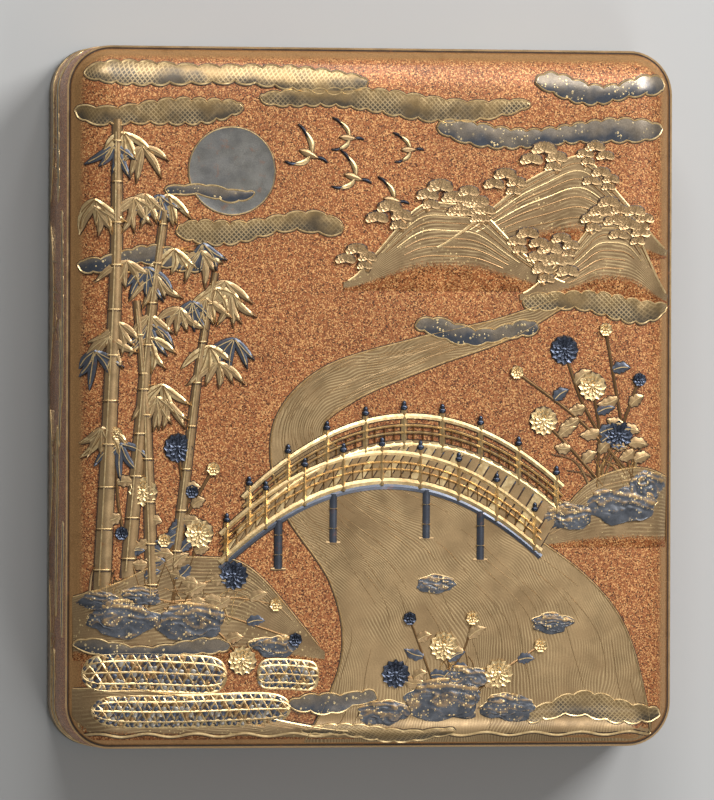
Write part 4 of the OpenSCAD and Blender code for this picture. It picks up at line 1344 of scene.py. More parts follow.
ROCKS = [
    # x, y, half width, half depth, height
    (26.5, -107, 14, 7.2, 1.35),
    (4, -111.6, 9, 4.2, 1.1),
    (48.5, -109.8, 9.5, 5.0, 1.2),
    (33, -99.5, 8, 4.2, 1.3),
    (90.5, -38, 13, 6.8, 1.35),
    (70, -41.8, 9, 4.8, 1.2),
    (99, -31, 7, 5.5, 1.3),
    (-65.5, -79.2, 12, 6.2, 1.35),
    (-90, -78, 13, 6.2, 1.2),
    (-36, -88, 8, 3.8, 1.0),
    (64.2, -80, 7.4, 3.5, 1.1),
    (22, -66, 7, 3.2, 0.9),
    (-84, -70, 7, 3.4, 1.1),
    (-98.5, -72, 7, 3.8, 1.0),
]


def rocks(face):
    """Rounded, folded stones: dark in the folds, gold dusted on the upper faces and ridges."""
    work = Relief("boulder")
    bm = work.of("rock")
    layer = bm.verts.layers.float["gilding"]
    for n, (x, y, rx, ry, h) in enumerate(ROCKS):
        lump = bmesh.ops.create_icosphere(bm, subdivisions=5, radius=1)["verts"]
        away = Vector((n * 3.1, n * 1.7, 0))
        outline = []
        for v in lump:
            p = v.co.copy()
            fold = noise.noise(p * 1.6 + away)
            crease = abs(noise.noise(Vector((p.x * 2.9 + 0.4 * p.y, p.y * 1.9, p.z)) + away))
            fine = noise.noise(p * 6 + away)
            wide = 1 + 0.34 * fold + 0.05 * fine
            ledge = abs((p.y * 1.7 + fold * 1.3 + 0.3 * p.x) % 1.0 - 0.5)
            rise = (0.52 + 0.5 * ledge + 0.55 * min(crease, 0.4) + 0.05 * fine) * max(p.z, 0) ** 0.38
            high = min(rise, 1.05) * h if p.z > 0 else SEAT
            dusted = 0.3 + 0.35 * p.y + 0.35 * fold + 1.5 * (ledge - 0.2)
            v[layer] = dusted + 0.5 * (crease - 0.17) + 0.2 * fine
            v.co = Vector((x + p.x * wide * rx, y + p.y * wide * ry, high))
        for turn in (math.tau * k / 40 for k in range(41)):
            p = Vector((math.cos(turn), math.sin(turn), 0))
            wide = 1 + 0.34 * noise.noise(p * 1.6 + away) + 0.05 * noise.noise(p * 6 + away)
            outline.append(Vector((x + p.x * wide * rx, y + p.y * wide * ry)))
        work.strip("bright_gold", curve_through(outline), 0.26, 0.3, 90, span=(0.0, 0.52), shade=0.3)
    work.laid(face, replaces={"rock": ["lid_relief_silver"]}, sharp=50)


BANKS = [
    # left, right, base y, top y, where the summit is, steepness
    (-150, -18, -93, -60, 0.72, 1.2),
    (56, 150, -53, -27, 0.4, 1.4),
    (-150, -6, -121, -104, 0.3, 1.7),
]


def banks(face):
    """Low banks of land under the bamboo and the flowers. They run on past the panel, and what
    lies past its edge is drawn in to it."""
    work = Relief("bank")
    edge = 107.3
    for x0, x1, base, top, summit, steep in BANKS:
        at = rise_of_land(x0, x1, base, top, summit, steep, 0.3)

        def inside(u, w):
            x, y, h = at(u, w)
            return min(max(x, -edge), edge), y, h

        def contour(u, v):
            return Vector(at(u, v)[:2])

        half_rise = (top - base) / 2
        work.sheet(
            "faded_gold",
            80,
            16,
            inside,
            gilding=lambda u, w: smooth((w + 1.25) / 1.2) * 1.35,
            flow=lambda u, w: w * half_rise,
        )
        start, stop = max((-107 - x0) / (x1 - x0), 0.02), min((107 - x0) / (x1 - x0), 0.98)
        work.strip("bright_gold", lambda u: contour(u, 1.0), 0.34, 0.62, 80, span=(start, stop), shade=0.3)
        for n in range(1, 4):
            span, v = (start + 0.02 * n, stop - 0.07 * n), 1 - 0.3 * n
            work.strip("pale_gold", lambda u: contour(u, v), 0.22, 0.5, 60, bow=0.1, span=span, shade=0.16)
    work.laid(face)


BASKETS = [
    # left, right, y, half width, bend
    (-104, -53.5, -97.5, 6.6, 0.6),
    (-42, -20.5, -98, 5.0, 0.4),
    (-101, -30.5, -110.4, 5.6, -0.5),
]


def baskets(face):
    """Three long woven baskets filled with stones, laid along the bank."""
    work = Relief("basket")
    rng = random.Random(14)
    high = 0.7
    for x0, x1, y, half, bend in BASKETS:

        def axis(u):
            return Vector((x0 + (x1 - x0) * u, y + bend * math.sin(math.pi * u * 1.5)))

        def girth(u):
            return half * max(1 - abs(2 * u - 1) ** 8, 0.02) ** 0.5

        def over(u, w):
            """A place on the basket's round back, and its height."""
            u = min(max(u, 0), 1)
            return axis(u) + Vector((0, w * girth(u))), high * (1 - 0.95 * w * w)

        # The basket's body is a dark sheet of painted shade, seen between the stones and the weave.
        work.strip("grime", axis, girth, high, 70, across=10, bow=0.95, shade=0.5)
        columns = int((x1 - x0) / 2.3)
        for i in range(columns):
            for j in range(6):
                u = (i + 0.5 + 0.5 * (j % 2) + rng.uniform(-0.2, 0.2)) / (columns + 1)
                w = -0.8 + 1.6 * j / 5 + rng.uniform(-0.06, 0.06)
                p, h = over(u, w)
                finish = rng.choice(("blued_powder", "blued_powder", "old_gold", "silver"))
                size_x, size_y = rng.uniform(1.05, 1.3), rng.uniform(0.85, 1.1)
                work.dot(finish, p.x, p.y, h + 0.02, size_x, size_y, 0.3, rng.uniform(0, 3))
        run = (x1 - x0) / half
        pitch = 0.62 / run
        for lean in (-1, 1):
            for n in range(-2, int(1.1 / pitch)):

                def slant(t):
                    w = (2 * t - 1) * 0.98
                    return over(n * pitch + lean * w * 0.55 / run, w)[0]

                def rounding(t):
                    return over(0.5, (2 * t - 1) * 0.98)[1] + 0.36

                work.strip("bright_gold", slant, 0.42, rounding, 14, foot=-0.05, bow=0.3)
        for w in (-0.6, 0.0, 0.6):
            rib = over(0.5, w)[1] + 0.42
            work.strip("bright_gold", lambda t: over(t, w)[0], 0.42, rib, 70, foot=0, bow=0.3)
        for side in (-1, 1):
            work.strip("bright_gold", lambda t: over(t, side)[0], 0.5, 0.45, 70)
    work.laid(face, replaces={"grime": ["lid_relief_gold"]})


def foot_wave(face):
    """A rippled line along the foot of the panel."""
    work = Relief("foot")

    def ripple(u):
        return Vector((-103 + 206 * u, -119.3 + 0.6 * math.sin(u * 74)))

    work.strip("bright_gold", ripple, 0.42, 0.4, 260, shade=0.4)
    work.laid(face)


def sides(face):
    """Mist, low banks and grasses carried over on to the lid's sides."""
    around = SideFace(face, INWARD)
    work = Relief("side")
    rng = random.Random(31)
    for n in range(22):
        start = around.around * n / 22 + rng.uniform(-8, 8)
        size = rng.uniform(34, 70)
        z = rng.choice((32, 28, 22, 16, 34))
        high = 0.11 + 0.015 * (n % 6)

        def edge(u, w):
            x = start + size * u
            lobe = scallop(x / 6.4 + (0.5 if w > 0 else 0))
            taper = max(1 - abs(2 * u - 1) ** 6, 0) ** 0.45
            half = 2.4 * max(taper * (0.6 + 0.3 * lobe), 0.03)
            return Vector((x, z + 0.8 * math.sin(u * 5 + n) + w * half))

        steps = int(size / 0.8)
        metal = "mist_gold" if n % 2 else "mist_silver"
        work.sheet(metal, steps, 4, lambda u, w: (*edge(u, w), high), flow=lambda u, w: 0.5 + 0.5 * w)
        for side in (-1, 1):
            work.strip("bright_gold", lambda u: edge(u, side), 0.26, 0.27, steps, foot=0)

    def thinning(_u, w):
        return smooth((w + 1.3) / 1.2) * 1.35

    low = 5.4
    for n in range(14):
        start = around.around * n / 14 + rng.uniform(-8, 8)
        size = rng.uniform(46, 76)
        top = low + rng.uniform(5, 9)

        def bank(u, w):
            t = (w + 1) / 2
            z = low + (top - low) * (0.04 + math.sin(math.pi * u) ** 0.8) * t
            return start + size * u, z, 0.05 + 0.04 * t + 0.007 * (n % 7)

        work.sheet("faded_gold", 60, 6, bank, gilding=thinning, flow=lambda u, w: 3.5 * w)
        work.strip("bright_gold", lambda u: Vector(bank(u, 1)[:2]), 0.26, 0.26, 60, span=(0.03, 0.97))
        for _ in range(9):
            x, z, _high = bank(rng.uniform(0.25, 0.75), 0.8)
            lean, reach = rng.uniform(-1, 1), rng.uniform(8, 15)
            tip = (x + lean * reach * 0.8, min(z + reach * (0.95 - 0.4 * abs(lean)), 37))
            middle = ((x + tip[0]) / 2 - lean * 1.6, (z + tip[1]) / 2 + 1.2)
            work.blade("pale_gold", [(x, z), middle, tip], 0.24, 12)
    work.laid(around)


# The motifs of the picture, in the order in which they are made
MOTIFS = (stream, hills, sky, mist, banks, bridge, bamboo, rocks, flowers, baskets, foot_wave, sides)


class WRITINGBOX_OT_picture(bpy.types.Operator):
    """Raised lacquer picture and inlaid flowers on the lid"""

    bl_idname = "writingbox.picture"
    bl_label = "Lid picture"

    def execute(self, context):
        face = LidFace()
        for motif in MOTIFS:
            motif(face)
        return {"FINISHED"}


# ---------------------------------------------------------------- case, trays and tools


def eased(name, node_name, finish, body, offset=0.3, segments=2, gild=None):
    """The node's own form with its sharp edges rounded, standing in for it."""
    bm = bmesh.new()
    bm.from_mesh(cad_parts[node_name].data)
    bmesh.ops.scale(bm, vec=(1 / MM, 1 / MM, 1 / MM), verts=bm.verts)
    bmesh.ops.remove_doubles(bm, verts=bm.verts, dist=0.002)
    bmesh.ops.dissolve_limit(bm, angle_limit=math.radians(0.6), verts=bm.verts, edges=bm.edges)
    soften(bm, offset, segments)
    if gild:
        layer = bm.verts.layers.float.new("gilding")
        for v in bm.verts:
            v[layer] = gild(v.co)
    finish_piece(name, bm, finish, body, [node_name])


def turned(bm, profile, place, along="Y", steps=48):
    """Spins a profile of (run, radius) points round an axis through place into a closed form."""
    ends = [bm.verts.new((r, 0, run)) for run, r in profile]
    rim = [bm.edges.new(pair) for pair in zip(ends, ends[1:])]
    bmesh.ops.spin(
        bm, geom=ends + rim, cent=(0, 0, 0), axis=(0, 0, 1), angle=2 * math.pi, steps=steps, use_merge=True
    )
    fresh = [v for v in bm.verts if not v.tag]
    bmesh.ops.remove_doubles(bm, verts=fresh, dist=0.0005)
    bmesh.ops.delete(bm, geom=[e for e in bm.edges if e.is_wire], context="EDGES")
    fresh = [v for v in bm.verts if not v.tag]
    turn = Matrix.Rotation(math.radians(-90), 4, "X") if along == "Y" else Matrix.Identity(4)
    bmesh.ops.transform(bm, matrix=Matrix.Translation(place) @ turn, verts=fresh)
    for v in fresh:
        v.tag = True


def turned_piece(name, profile, place, finish, body, node_name=None, slot=None, **more):
    """A turned form as a piece of its own."""
    bm = bmesh.new()
    turned(bm, profile, place, **more)
    finish_piece(name, bm, finish, body, [node_name] if node_name else ())


def case():
    """The case that the lid slides down over, and the board with its two seats."""
    low, high = place_of("base_walls")
    w, l, r = high.x - low.x, high.y - low.y, mm("corner_r") - mm("skirt_t") - mm("lid_gap")
    bm = bmesh.new()
    slab_ring(bm, w, l, r, CASE_WALL, low.z, high.z)
    finish_piece("case_walls", bm, "nashiji", "base", ["base_walls"])
    eased("case_bottom", "base_bottom", "nashiji", "base", 0.5)
    low, high = place_of("base_rim")
    bm = bmesh.new()
    slab_ring(bm, w, l, r, CASE_WALL, low.z, high.z)
    soften(bm, 0.8, 3)
    finish_piece("case_edging", bm, "pewter", "base", ["base_rim"])
    eased("seat_board", "centre_board", "nashiji", "board", 0.4)

    # A gold line lies on the board around the seat of the inkstone and that of the dropper.
    low, high = place_of("inkstone")
    board = place_of("centre_board")[1].z
    foot, top = board - 0.1, board + 0.25
    bm = bmesh.new()
    slab_ring(bm, high.x - low.x + 5, high.y - low.y + 5, 7.5, 1.4, foot, top, 0, (low.y + high.y) / 2)
    low, high = place_of("dropper_bowl")
    r = (high.y - low.y) / 2
    profile = [(foot, r + 1.0), (foot, r + 2.4), (top, r + 2.3), (top, r + 1.1), (foot, r + 1.0)]
    turned(bm, profile, (0, (low.y + high.y) / 2, 0), "Z", 72)
    finish_piece("seat_edging", bm, "bright_gold", "board")


class FlatFace:
    """A level face inside the box for raised work."""

    def __init__(self, z):
        self.z = z

    def lift(self, x, y, h):
        return Vector((x, y, self.z + h))


def board_sprays():
    """Grasses and small flowers on the board, around the seat of the dropper."""
    top = place_of("centre_board")[1].z
    low, high = place_of("dropper_bowl")
    seat_y = (low.y + high.y) / 2
    work = Relief("board")
    petal = small_shape("petal")
    rng = random.Random(41)
    for x, y, reach, side in ((-41, 62, 22, 1), (40, 58, 24, -1), (-44, 100, 12, 1), (42, 104, 10, -1)):
        for n in range(9):
            lean = rng.uniform(-0.9, 0.9)
            size = reach * rng.uniform(0.6, 1.0)
            root = Vector((x + rng.uniform(-3, 3), y - 8))
            tip = root + Vector((lean * 9, size))
            if tip.y > 113 or abs(tip.x) > 53 or math.hypot(tip.x, tip.y - seat_y) < 31:
                continue  # it would run past the board's edge or into the dropper's seat
            middle = root.lerp(tip, 0.55) + Vector((-lean * 2, 1.5))
            work.blade("bright_gold", [root, middle, tip], 0.28, 12)
        for n in range(3):
            px, py = x + side * rng.uniform(-6, 1), y - 6 + 8 * n + rng.uniform(-1, 1)
            if abs(px) < 51 and math.hypot(px, py - seat_y) > 33:
                chrysanthemum(work, "bright_gold" if n % 2 else "blued", petal, px, py, 2.6)
    work.laid(FlatFace(top), "board")


def trays():
    wall, floor, corner = 2.5, 2.5, 7.0
    for side in ("left", "right"):
        low, high = place_of(f"{side}_tray")
        w, l, x = high.x - low.x, high.y - low.y, (low.x + high.x) / 2
        bm = bmesh.new()
        top, _bottom = rounded_slab(bm, w, l, corner, low.z, high.z, x, 0)
        bmesh.ops.inset_region(bm, faces=[top], thickness=wall, use_even_offset=True)
        sunk = bmesh.ops.extrude_face_region(bm, geom=[top])["geom"]
        cap = [g for g in sunk if isinstance(g, bmesh.types.BMFace)]
        bmesh.ops.delete(bm, geom=[top], context="FACES_ONLY")
        drop = (0, 0, low.z + floor - high.z)
        bmesh.ops.translate(bm, vec=drop, verts=list({v for f in cap for v in f.verts}))
        rounded(bm, list({e for f in cap for e in f.edges}), 1.1, 3)
        finish_piece(f"{side}_tray_box", bm, "nashiji", f"{side}_tray", [f"{side}_tray"])
        low, high = place_of(f"{side}_tray_rim")
        bm = bmesh.new()
        slab_ring(bm, w, l, corner, wall, low.z, high.z, x, 0)
        soften(bm, 0.35, 3)
        finish_piece(f"{side}_tray_edging", bm, "pewter", f"{side}_tray", [f"{side}_tray_rim"])


class WRITINGBOX_OT_case(bpy.types.Operator):
    """Case, seat board and trays"""

    bl_idname = "writingbox.case"
    bl_label = "Case and trays"

    def execute(self, context):
        case()
        board_sprays()
        trays()
        return {"FINISHED"}


def inkstone():
    low, high = place_of("inkstone")
    w, l, y, top = high.x - low.x, high.y - low.y, (low.y + high.y) / 2, high.z

    def dried_ink(p):
        """The gilding attribute of the stone stands for ink in its well."""
        inner = abs(p.x) < w / 2 - 4 and abs(p.y - y) < l / 2 - 4
        return 1.5 * smooth((top - p.z - 4.0) / 5) if inner else 0

    eased("grinding_stone", "inkstone", "slate", "stone", 0.8, 3, gild=dried_ink)

    # A fine line is cut round the border, just inside the stone's edge.
    bm = bmesh.new()
    slab_ring(bm, w - 5, l - 5, 3.2, 0.5, top - 0.1, top + 0.06, 0, y)
    finish_piece("stone_line", bm, "ink", "stone")


def dropper():
    low, high = place_of("dropper_bowl")
    centre, r, z = (low.y + high.y) / 2, (high.y - low.y) / 2, low.z
    top = high.z
    outside = [
        (z, 0), (z, r - 5.6), (z + 0.5, r - 4.8), (z + 2.2, r - 2.6), (z + 4.6, r - 0.6), (z + 6.6, r),
        (z + 10.5, r), (z + 13.2, r - 0.5), (z + 15.2, r - 1.3), (top - 0.2, r - 2.1), (top, r - 2.5),
    ]
    inside = [
        (top, r - 3.2), (z + 13.2, r - 1.7), (z + 6.6, r - 1.2), (z + 2.6, r - 4.2), (z + 1.2, r - 6),
        (z + 1.2, 0),
    ]
    bm = bmesh.new()
    turned(bm, outside + inside, (0, centre, 0), "Z", 112)
    for v in bm.verts:  # fourteen lobes like a flower's, deepest at the belly
        dx, dy = v.co.x, v.co.y - centre
        turn = math.atan2(dy, dx)
        if math.hypot(dx, dy) > r - 6.5:
            belly = math.sin(math.pi * min(max((v.co.z - z) / (top - z), 0), 1)) ** 0.6
            pull = 1 - 0.035 * belly * (1 - abs(math.sin(7 * turn))) ** 2
            v.co.x, v.co.y = dx * pull, centre + dy * pull
    finish_piece("water_bowl", bm, "copper", "dropper", ["dropper_bowl"])
    eased("water_bowl_cover", "dropper_cover", "copper", "dropper", 0.25)

    # Two rings of petals spread over the cover from its middle. Those whose tip comes near the
    # pouring hole are left out.
    work = Relief("cover")
    petal = small_shape("petal")
    hub = 3.2
    for finish, reach, first, height in (("pale_gold", 23.5, 0.5, 0.55), ("bright_gold", 15.0, 1.0, 0.8)):
        for n in range(14):
            turn = 2 * math.pi * (n + first) / 14
            x, y = hub * math.cos(turn), centre + hub * math.sin(turn)
            tip = (reach * math.cos(turn), reach * math.sin(turn) + 19)
            if reach < 20 or math.hypot(*tip) >= 7.5:
                stamp(work.of(finish), petal, x, y, 0, reach - hub, reach * 0.36, height, turn)
    work.laid(FlatFace(place_of("dropper_cover")[1].z), "dropper")

    low, high = place_of("dropper_spout")
    profile = [
        (low.z, 1.4), (low.z, 3.2), (low.z + 0.3, 3.1), (low.z + 1.2, 2.5), (high.z - 0.2, 2.35),
        (high.z, 2.15), (high.z, 1.6), (high.z - 0.2, 1.4), (low.z, 1.4),
    ]
    place = (0, (low.y + high.y) / 2, 0)
    turned_piece(
        "pouring_spout", profile, place, "bright_gold", "dropper", "dropper_spout", along="Z", steps=40
    )


class WRITINGBOX_OT_stone_and_dropper(bpy.types.Operator):
    """Inkstone and water dropper"""

    bl_idname = "writingbox.stone_and_dropper"
    bl_label = "Inkstone and water dropper"

    def execute(self, context):
        inkstone()
        dropper()
        return {"FINISHED"}


def brush(n):
    low, high = place_of(f"brush_{n}_handle")
    x, z = (low.x + high.x) / 2, (low.z + high.z) / 2
    start, run, r = low.y, high.y - low.y, 4.2
    body = f"brush_{n}"
    profile = [(0, 0), (0, r - 1.0), (0.5, r - 0.35), (1.4, r)]
    for joint in (0.3, 0.66):
        at = run * joint
        profile += [
            (at - 9, r - 0.12), (at - 2.4, r - 0.05), (at - 0.9, r + 0.3), (at - 0.35, r + 0.34),
            (at, r - 0.1), (at + 0.45, r + 0.3), (at + 2.2, r - 0.02), (at + 10, r - 0.1),
        ]
    profile += [(run, r - 0.06), (run, 0)]
    bm = bmesh.new()
    turned(bm, profile, (x, start, z))
    for v in bm.verts:  # a culm is never quite round or straight
        v.co.x += 0.1 * math.sin((v.co.y - start) / 26 + n)
    finish_piece(f"brush_{n}_culm", bm, "bamboo", body, [f"brush_{n}_handle"])
    for end, at, width in (("foot", 3.0, 1.0), ("neck", run - 6, 1.6)):
        profile = [
            (at, r - 0.5), (at, r + 0.12), (at + 0.2, r + 0.22), (at + width - 0.2, r + 0.22),
            (at + width, r + 0.12), (at + width, r - 0.5), (at, r - 0.5),
        ]
        name = f"brush_{n}_band_{end}"
        turned_piece(name, profile, (x, start, z), "bright_gold", body, slot="gold_inlay")

    low, high = place_of(f"brush_{n}_ferrule")
    r, run = (high.x - low.x) / 2, high.y - low.y
    profile = [(0, 0), (0, r - 0.15)]
    for k in range(5):
        at = 0.3 + k * 2.3
        profile += [(at, r - 0.1), (at + 0.5, r), (at + 1.5, r), (at + 2.0, r - 0.1)]
    profile += [(run - 0.1, r - 0.1), (run, r - 0.3), (run, 0)]
    turned_piece(f"brush_{n}_socket", profile, (x, low.y, z), "bright_gold", body, f"brush_{n}_ferrule")

    low, high = place_of(f"brush_{n}_hair")
    r, run = (high.x - low.x) / 2, high.y - low.y
    profile = [(0, 0), (0, r - 0.7)]
    for t in (0.06, 0.15, 0.3, 0.45, 0.6, 0.72, 0.82, 0.9, 0.95):
        profile.append((run * t, r * math.sqrt(1 - t**2.4) * (1 - 0.25 * t)))
    profile += [(run - 0.1, 0.35), (run, 0)]
    bm = bmesh.new()
    steps = 96
    turned(bm, profile, (x, low.y, z), steps=steps)
    rng = random.Random(n)
    groove = [rng.uniform(0.93, 1.0) for _ in range(steps + 1)]
    for v in bm.verts:
        dx, dz = v.co.x - x, v.co.z - z
        turn = int((math.atan2(dz, dx) / math.tau % 1) * steps + 0.5)
        v.co.x, v.co.z = x + dx * groove[turn], z + dz * groove[turn]
    finish_piece(f"brush_{n}_tuft", bm, "hair", body, [f"brush_{n}_hair"], sharp=80)

    low, high = place_of(f"brush_{n}_cap")
    r, run, bore = (high.x - low.x) / 2, high.y - low.y, 4.68
    profile = [(0, bore), (0, r - 0.4), (0.4, r)]
    for at in (3, run - 6):
        profile += [(at, r), (at + 0.2, r - 0.12), (at + 0.6, r - 0.12), (at + 0.8, r)]
    profile += [
        (run - 1.6, r - 0.05), (run - 0.5, r - 0.9), (run, r - 2.6), (run, 0),
        (run - 4, 0), (run - 4, bore), (0, bore),
    ]
    name = f"brush_{n}_cap"
    turned_piece(f"{name}_tube", profile, (x, low.y, z), "nashiji", name, name)


class WRITINGBOX_OT_brushes(bpy.types.Operator):
    """Two brushes with their caps"""

    bl_idname = "writingbox.brushes"
    bl_label = "Brushes"

    def execute(self, context):
        for n in (1, 2):
            brush(n)
        return {"FINISHED"}


def knife():
    eased("knife_grip", "knife_handle", "nashiji", "knife", 0.7, 3)
    eased("knife_band", "knife_collar", "bright_gold", "knife", 0.3)
    eased("knife_scabbard", "knife_sheath", "nashiji", "knife_sheath", 0.35)
    low, high = place_of("knife_blade")
    w, l, t = high.x - low.x, high.y - low.y, high.z - low.z
    x, z = (low.x + high.x) / 2, (low.z + high.z) / 2
    bm = bmesh.new()
    made = block(bm, (w, l, t), (x, (low.y + high.y) / 2, z))
    for v in made:  # the point is at the left edge, the cutting edge runs back to the right
        if v.co.y > high.y - 0.1 and v.co.x > x:
            v.co.y = high.y - 1.6 * w + 0.6
    for v in made:  # one side is ground: its edge stands back from the cutting edge
        if v.co.y > low.y + 0.1 and v.co.z > z:
            v.co.y -= 4.5
    soften(bm, 0.06, 1)
    finish_piece("knife_edge", bm, "steel", "knife", ["knife_blade"], sharp=20)


def awl():
    low, high = place_of("awl_handle")
    x, z, r, run = (low.x + high.x) / 2, (low.z + high.z) / 2, (high.x - low.x) / 2, high.y - low.y
    profile = [(0, 0), (0, r - 1.8), (0.5, r - 0.8), (1.6, r - 0.15), (3, r)]
    for at in (9, 12, run - 14, run - 11):
        profile += [(at, r), (at + 0.2, r - 0.25), (at + 0.7, r - 0.25), (at + 0.9, r)]
    profile += [(run - 0.3, r), (run, r - 0.3), (run, 0)]
    turned_piece("awl_grip", profile, (x, low.y, z), "nashiji", "awl", "awl_handle")

    low, high = place_of("awl_collar")
    wide, run = (high.x - low.x) / 2, high.y - low.y
    profile = [
        (0, 0), (0, wide - 0.1), (0.3, wide), (1.2, wide), (1.5, wide - 0.3), (run - 1.5, wide - 0.3),
        (run - 1.2, wide), (run - 0.3, wide), (run, wide - 0.3), (run, 0),
    ]
    turned_piece("awl_band", profile, (x, low.y, z), "bright_gold", "awl", "awl_collar")

    low, high = place_of("awl_point")
    thick, run = (high.x - low.x) / 2, high.y - low.y
    profile = [
        (0, 0), (0, thick), (run / 3, thick), (run * 0.45, thick * 0.86), (run * 0.7, thick * 0.52),
        (run * 0.9, thick * 0.24), (run - 0.2, 0.12), (run, 0),
    ]
    turned_piece("awl_spike", profile, (x, low.y, z), "steel", "awl", "awl_point", steps=32)

    low, high = place_of("awl_sheath")
    run, bore = high.y - low.y, 1.55
    profile = [
        (0, bore), (0, r - 0.3), (0.3, r), (2.2, r), (2.4, r - 0.25), (2.9, r - 0.25), (3.1, r),
        (run - 2.4, r), (run - 0.9, r - 0.5), (run, r - 2.0), (run, 0), (run - 4, 0), (run - 4, bore),
        (0, bore),
    ]
    turned_piece("awl_scabbard", profile, (x, low.y, z), "nashiji", "awl_sheath", "awl_sheath")


def ink():
    eased("stick_holder", "ink_holder", "nashiji", "ink_holder", 0.35)
    eased("clamp_ring", "ink_holder_ring", "bright_gold", "ink_ring", 0.22)
    low, high = place_of("ink_stick")
    bm = bmesh.new()
    block(bm, high - low, (low + high) / 2)
    soften(bm, 0.55, 3)
    bm.normal_update()
    broad = [f for f in bm.faces if abs(f.normal.z) > 0.99 and f.calc_area() > 100]
    bmesh.ops.inset_individual(bm, faces=broad, thickness=0.7, depth=0, use_even_offset=True)
    bmesh.ops.inset_individual(bm, faces=broad, thickness=0.15, depth=-0.2, use_even_offset=True)
    for v in bm.verts:  # the end that is ground is worn at a slant
        if v.co.y > high.y - 1.2:
            v.co.y -= 0.9 * (0.5 + (v.co.z - low.z) / (high.z - low.z) * 0.5)
    finish_piece("pressed_ink", bm, "ink", "ink_stick", ["ink_stick"])
    work = Relief("pressed_ink")
    x, y = (low.x + high.x) / 2, (low.y + high.y) / 2
    petal = small_shape("petal")
    for k in range(3):
        cy = y + 4 + 7.5 * k
        for n in range(5):
            turn = 2 * math.pi * (n + 0.25) / 5
            stamp(work.of("bright_gold"), petal, x, cy, -0.15, 2.3, 1.7, 0.3, turn)
    work.laid(FlatFace(high.z - 0.18), "ink_stick")


class WRITINGBOX_OT_tools(bpy.types.Operator):
    """Knife, awl and ink stick with its holder"""

    bl_idname = "writingbox.tools"
    bl_label = "Knife, awl and ink"

    def execute(self, context):
        knife()
        awl()
        ink()
        return {"FINISHED"}


# ---------------------------------------------------------------- stage


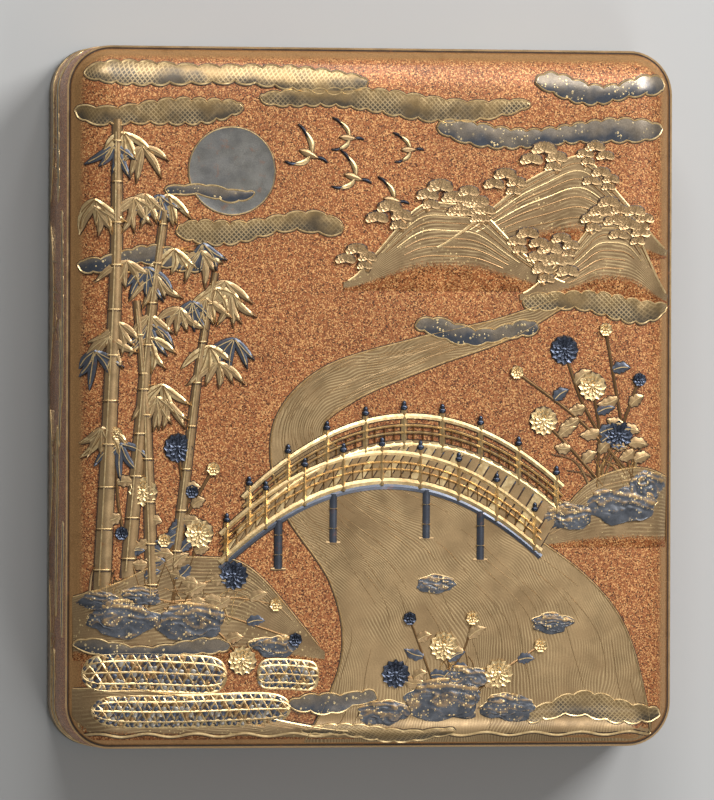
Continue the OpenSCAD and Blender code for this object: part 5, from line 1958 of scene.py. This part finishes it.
def studio():
    """Floor, lights, world and the camera of the photograph."""
    made, tree, shader, where = new_finish("matt_floor", {"Roughness": 0.9, "IOR": 1.4})
    tone = wander(tree, where, 240, 0.96, 1.0, start=0.2, stop=0.8)
    surface(tree, shader, times(tree, hues().floor, tone))
    bm = bmesh.new()
    bmesh.ops.create_grid(bm, x_segments=2, y_segments=2, size=6.0)
    mesh = bpy.data.meshes.new("floor")
    bm.to_mesh(mesh)
    bm.free()
    mesh.materials.append(made)
    floor = bpy.data.objects.new("floor", mesh)
    bpy.context.scene.collection.objects.link(floor)

    def softbox(name, place, aim, size_x, size_y, energy):
        light = bpy.data.lights.new(name, "AREA")
        light.shape = "RECTANGLE"
        light.size, light.size_y, light.energy = size_x, size_y, energy
        lamp = bpy.data.objects.new(name, light)
        lamp.location = place
        lamp.rotation_euler = (Vector(aim) - Vector(place)).to_track_quat("-Z", "Y").to_euler()
        bpy.context.scene.collection.objects.link(lamp)

    softbox("key_softbox", (0.85, 0.8, 1.05), (0, 0, 0.03), 0.6, 0.5, 24)
    softbox("head_softbox", (-0.2, 1.2, 1.0), (0, 0.05, 0.03), 0.5, 0.3, 10)
    softbox("foot_softbox", (0.45, -1.2, 0.9), (0, -0.05, 0.03), 0.4, 0.3, 4)
    softbox("edge_softbox", (0.17, 0.97, 0.85), (-0.03, 0.11, 0.045), 0.16, 0.9, 2.4)
    softbox("corner_softbox", (0.32, -0.45, 1.1), (0.08, -0.1, 0.045), 0.2, 0.25, 0.8)

    world = bpy.data.worlds.new("studio")
    world.use_nodes = True
    tree = world.node_tree
    tree.nodes.clear()
    rays = node(tree, "LightPath")
    seen = maths(tree, "MAXIMUM", rays.outputs["Is Camera Ray"], rays.outputs["Is Transmission Ray"])
    room = node(tree, "Background", inputs={"Color": linear("#D8D8D6"), "Strength": 0.36})
    pale = node(tree, "Background", inputs={"Color": linear("#C9C9C7"), "Strength": 1.0})
    mix = node(tree, "MixShader", inputs={0: seen, 1: room.outputs[0], 2: pale.outputs[0]})
    node(tree, "OutputWorld", inputs={"Surface": mix.outputs[0]})
    bpy.context.scene.world = world
    bpy.context.scene.view_settings.view_transform = "Standard"

    # The camera stands where a fit to the lid's edges in the photograph puts it.
    camera = bpy.data.cameras.new("photograph")
    camera.lens = 388.0
    camera.clip_start, camera.clip_end = 0.1, 20
    view = bpy.data.objects.new("photograph", camera)
    view.location = (-0.6178, 0.0093, 3.040)
    view.rotation_euler = (-0.0040, -0.2015, 0.0035)
    bpy.context.scene.collection.objects.link(view)
    bpy.context.scene.camera = view


class WRITINGBOX_OT_stage(bpy.types.Operator):
    """Floor, lights and camera"""

    bl_idname = "writingbox.stage"
    bl_label = "Stage"

    def execute(self, context):
        studio()
        return {"FINISHED"}


OPERATORS = (
    WRITINGBOX_OT_lid,
    WRITINGBOX_OT_picture,
    WRITINGBOX_OT_case,
    WRITINGBOX_OT_stone_and_dropper,
    WRITINGBOX_OT_brushes,
    WRITINGBOX_OT_tools,
    WRITINGBOX_OT_stage,
)


class WRITINGBOX_PT_panel(bpy.types.Panel):
    """Shows the writing box's sizes and colours, and a button for each step that makes its pieces"""

    bl_idname = "WRITINGBOX_PT_panel"
    bl_label = "Writing box"
    bl_space_type = "VIEW_3D"
    bl_region_type = "UI"
    bl_category = "Writing box"

    def draw(self, context):
        column = self.layout.column()
        for group in (context.scene.writing_box_sizes, context.scene.writing_box_colours):
            for key in group.__annotations__:
                column.prop(group, key)
        for operator in OPERATORS:
            column.operator(operator.bl_idname)


CLASSES = (WRITINGBOX_sizes, WRITINGBOX_colours, *OPERATORS, WRITINGBOX_PT_panel)


def register():
    for made in CLASSES:
        bpy.utils.register_class(made)
    bpy.types.Scene.writing_box_sizes = bpy.props.PointerProperty(type=WRITINGBOX_sizes)
    bpy.types.Scene.writing_box_colours = bpy.props.PointerProperty(type=WRITINGBOX_colours)


def unregister():
    del bpy.types.Scene.writing_box_sizes
    del bpy.types.Scene.writing_box_colours
    for made in reversed(CLASSES):
        bpy.utils.unregister_class(made)


def main():
    register()
    bpy.ops.writingbox.lid()
    bpy.ops.writingbox.picture()
    bpy.ops.writingbox.case()
    bpy.ops.writingbox.stone_and_dropper()
    bpy.ops.writingbox.brushes()
    bpy.ops.writingbox.tools()
    bpy.ops.writingbox.stage()


if __name__ == "__main__":
    main()
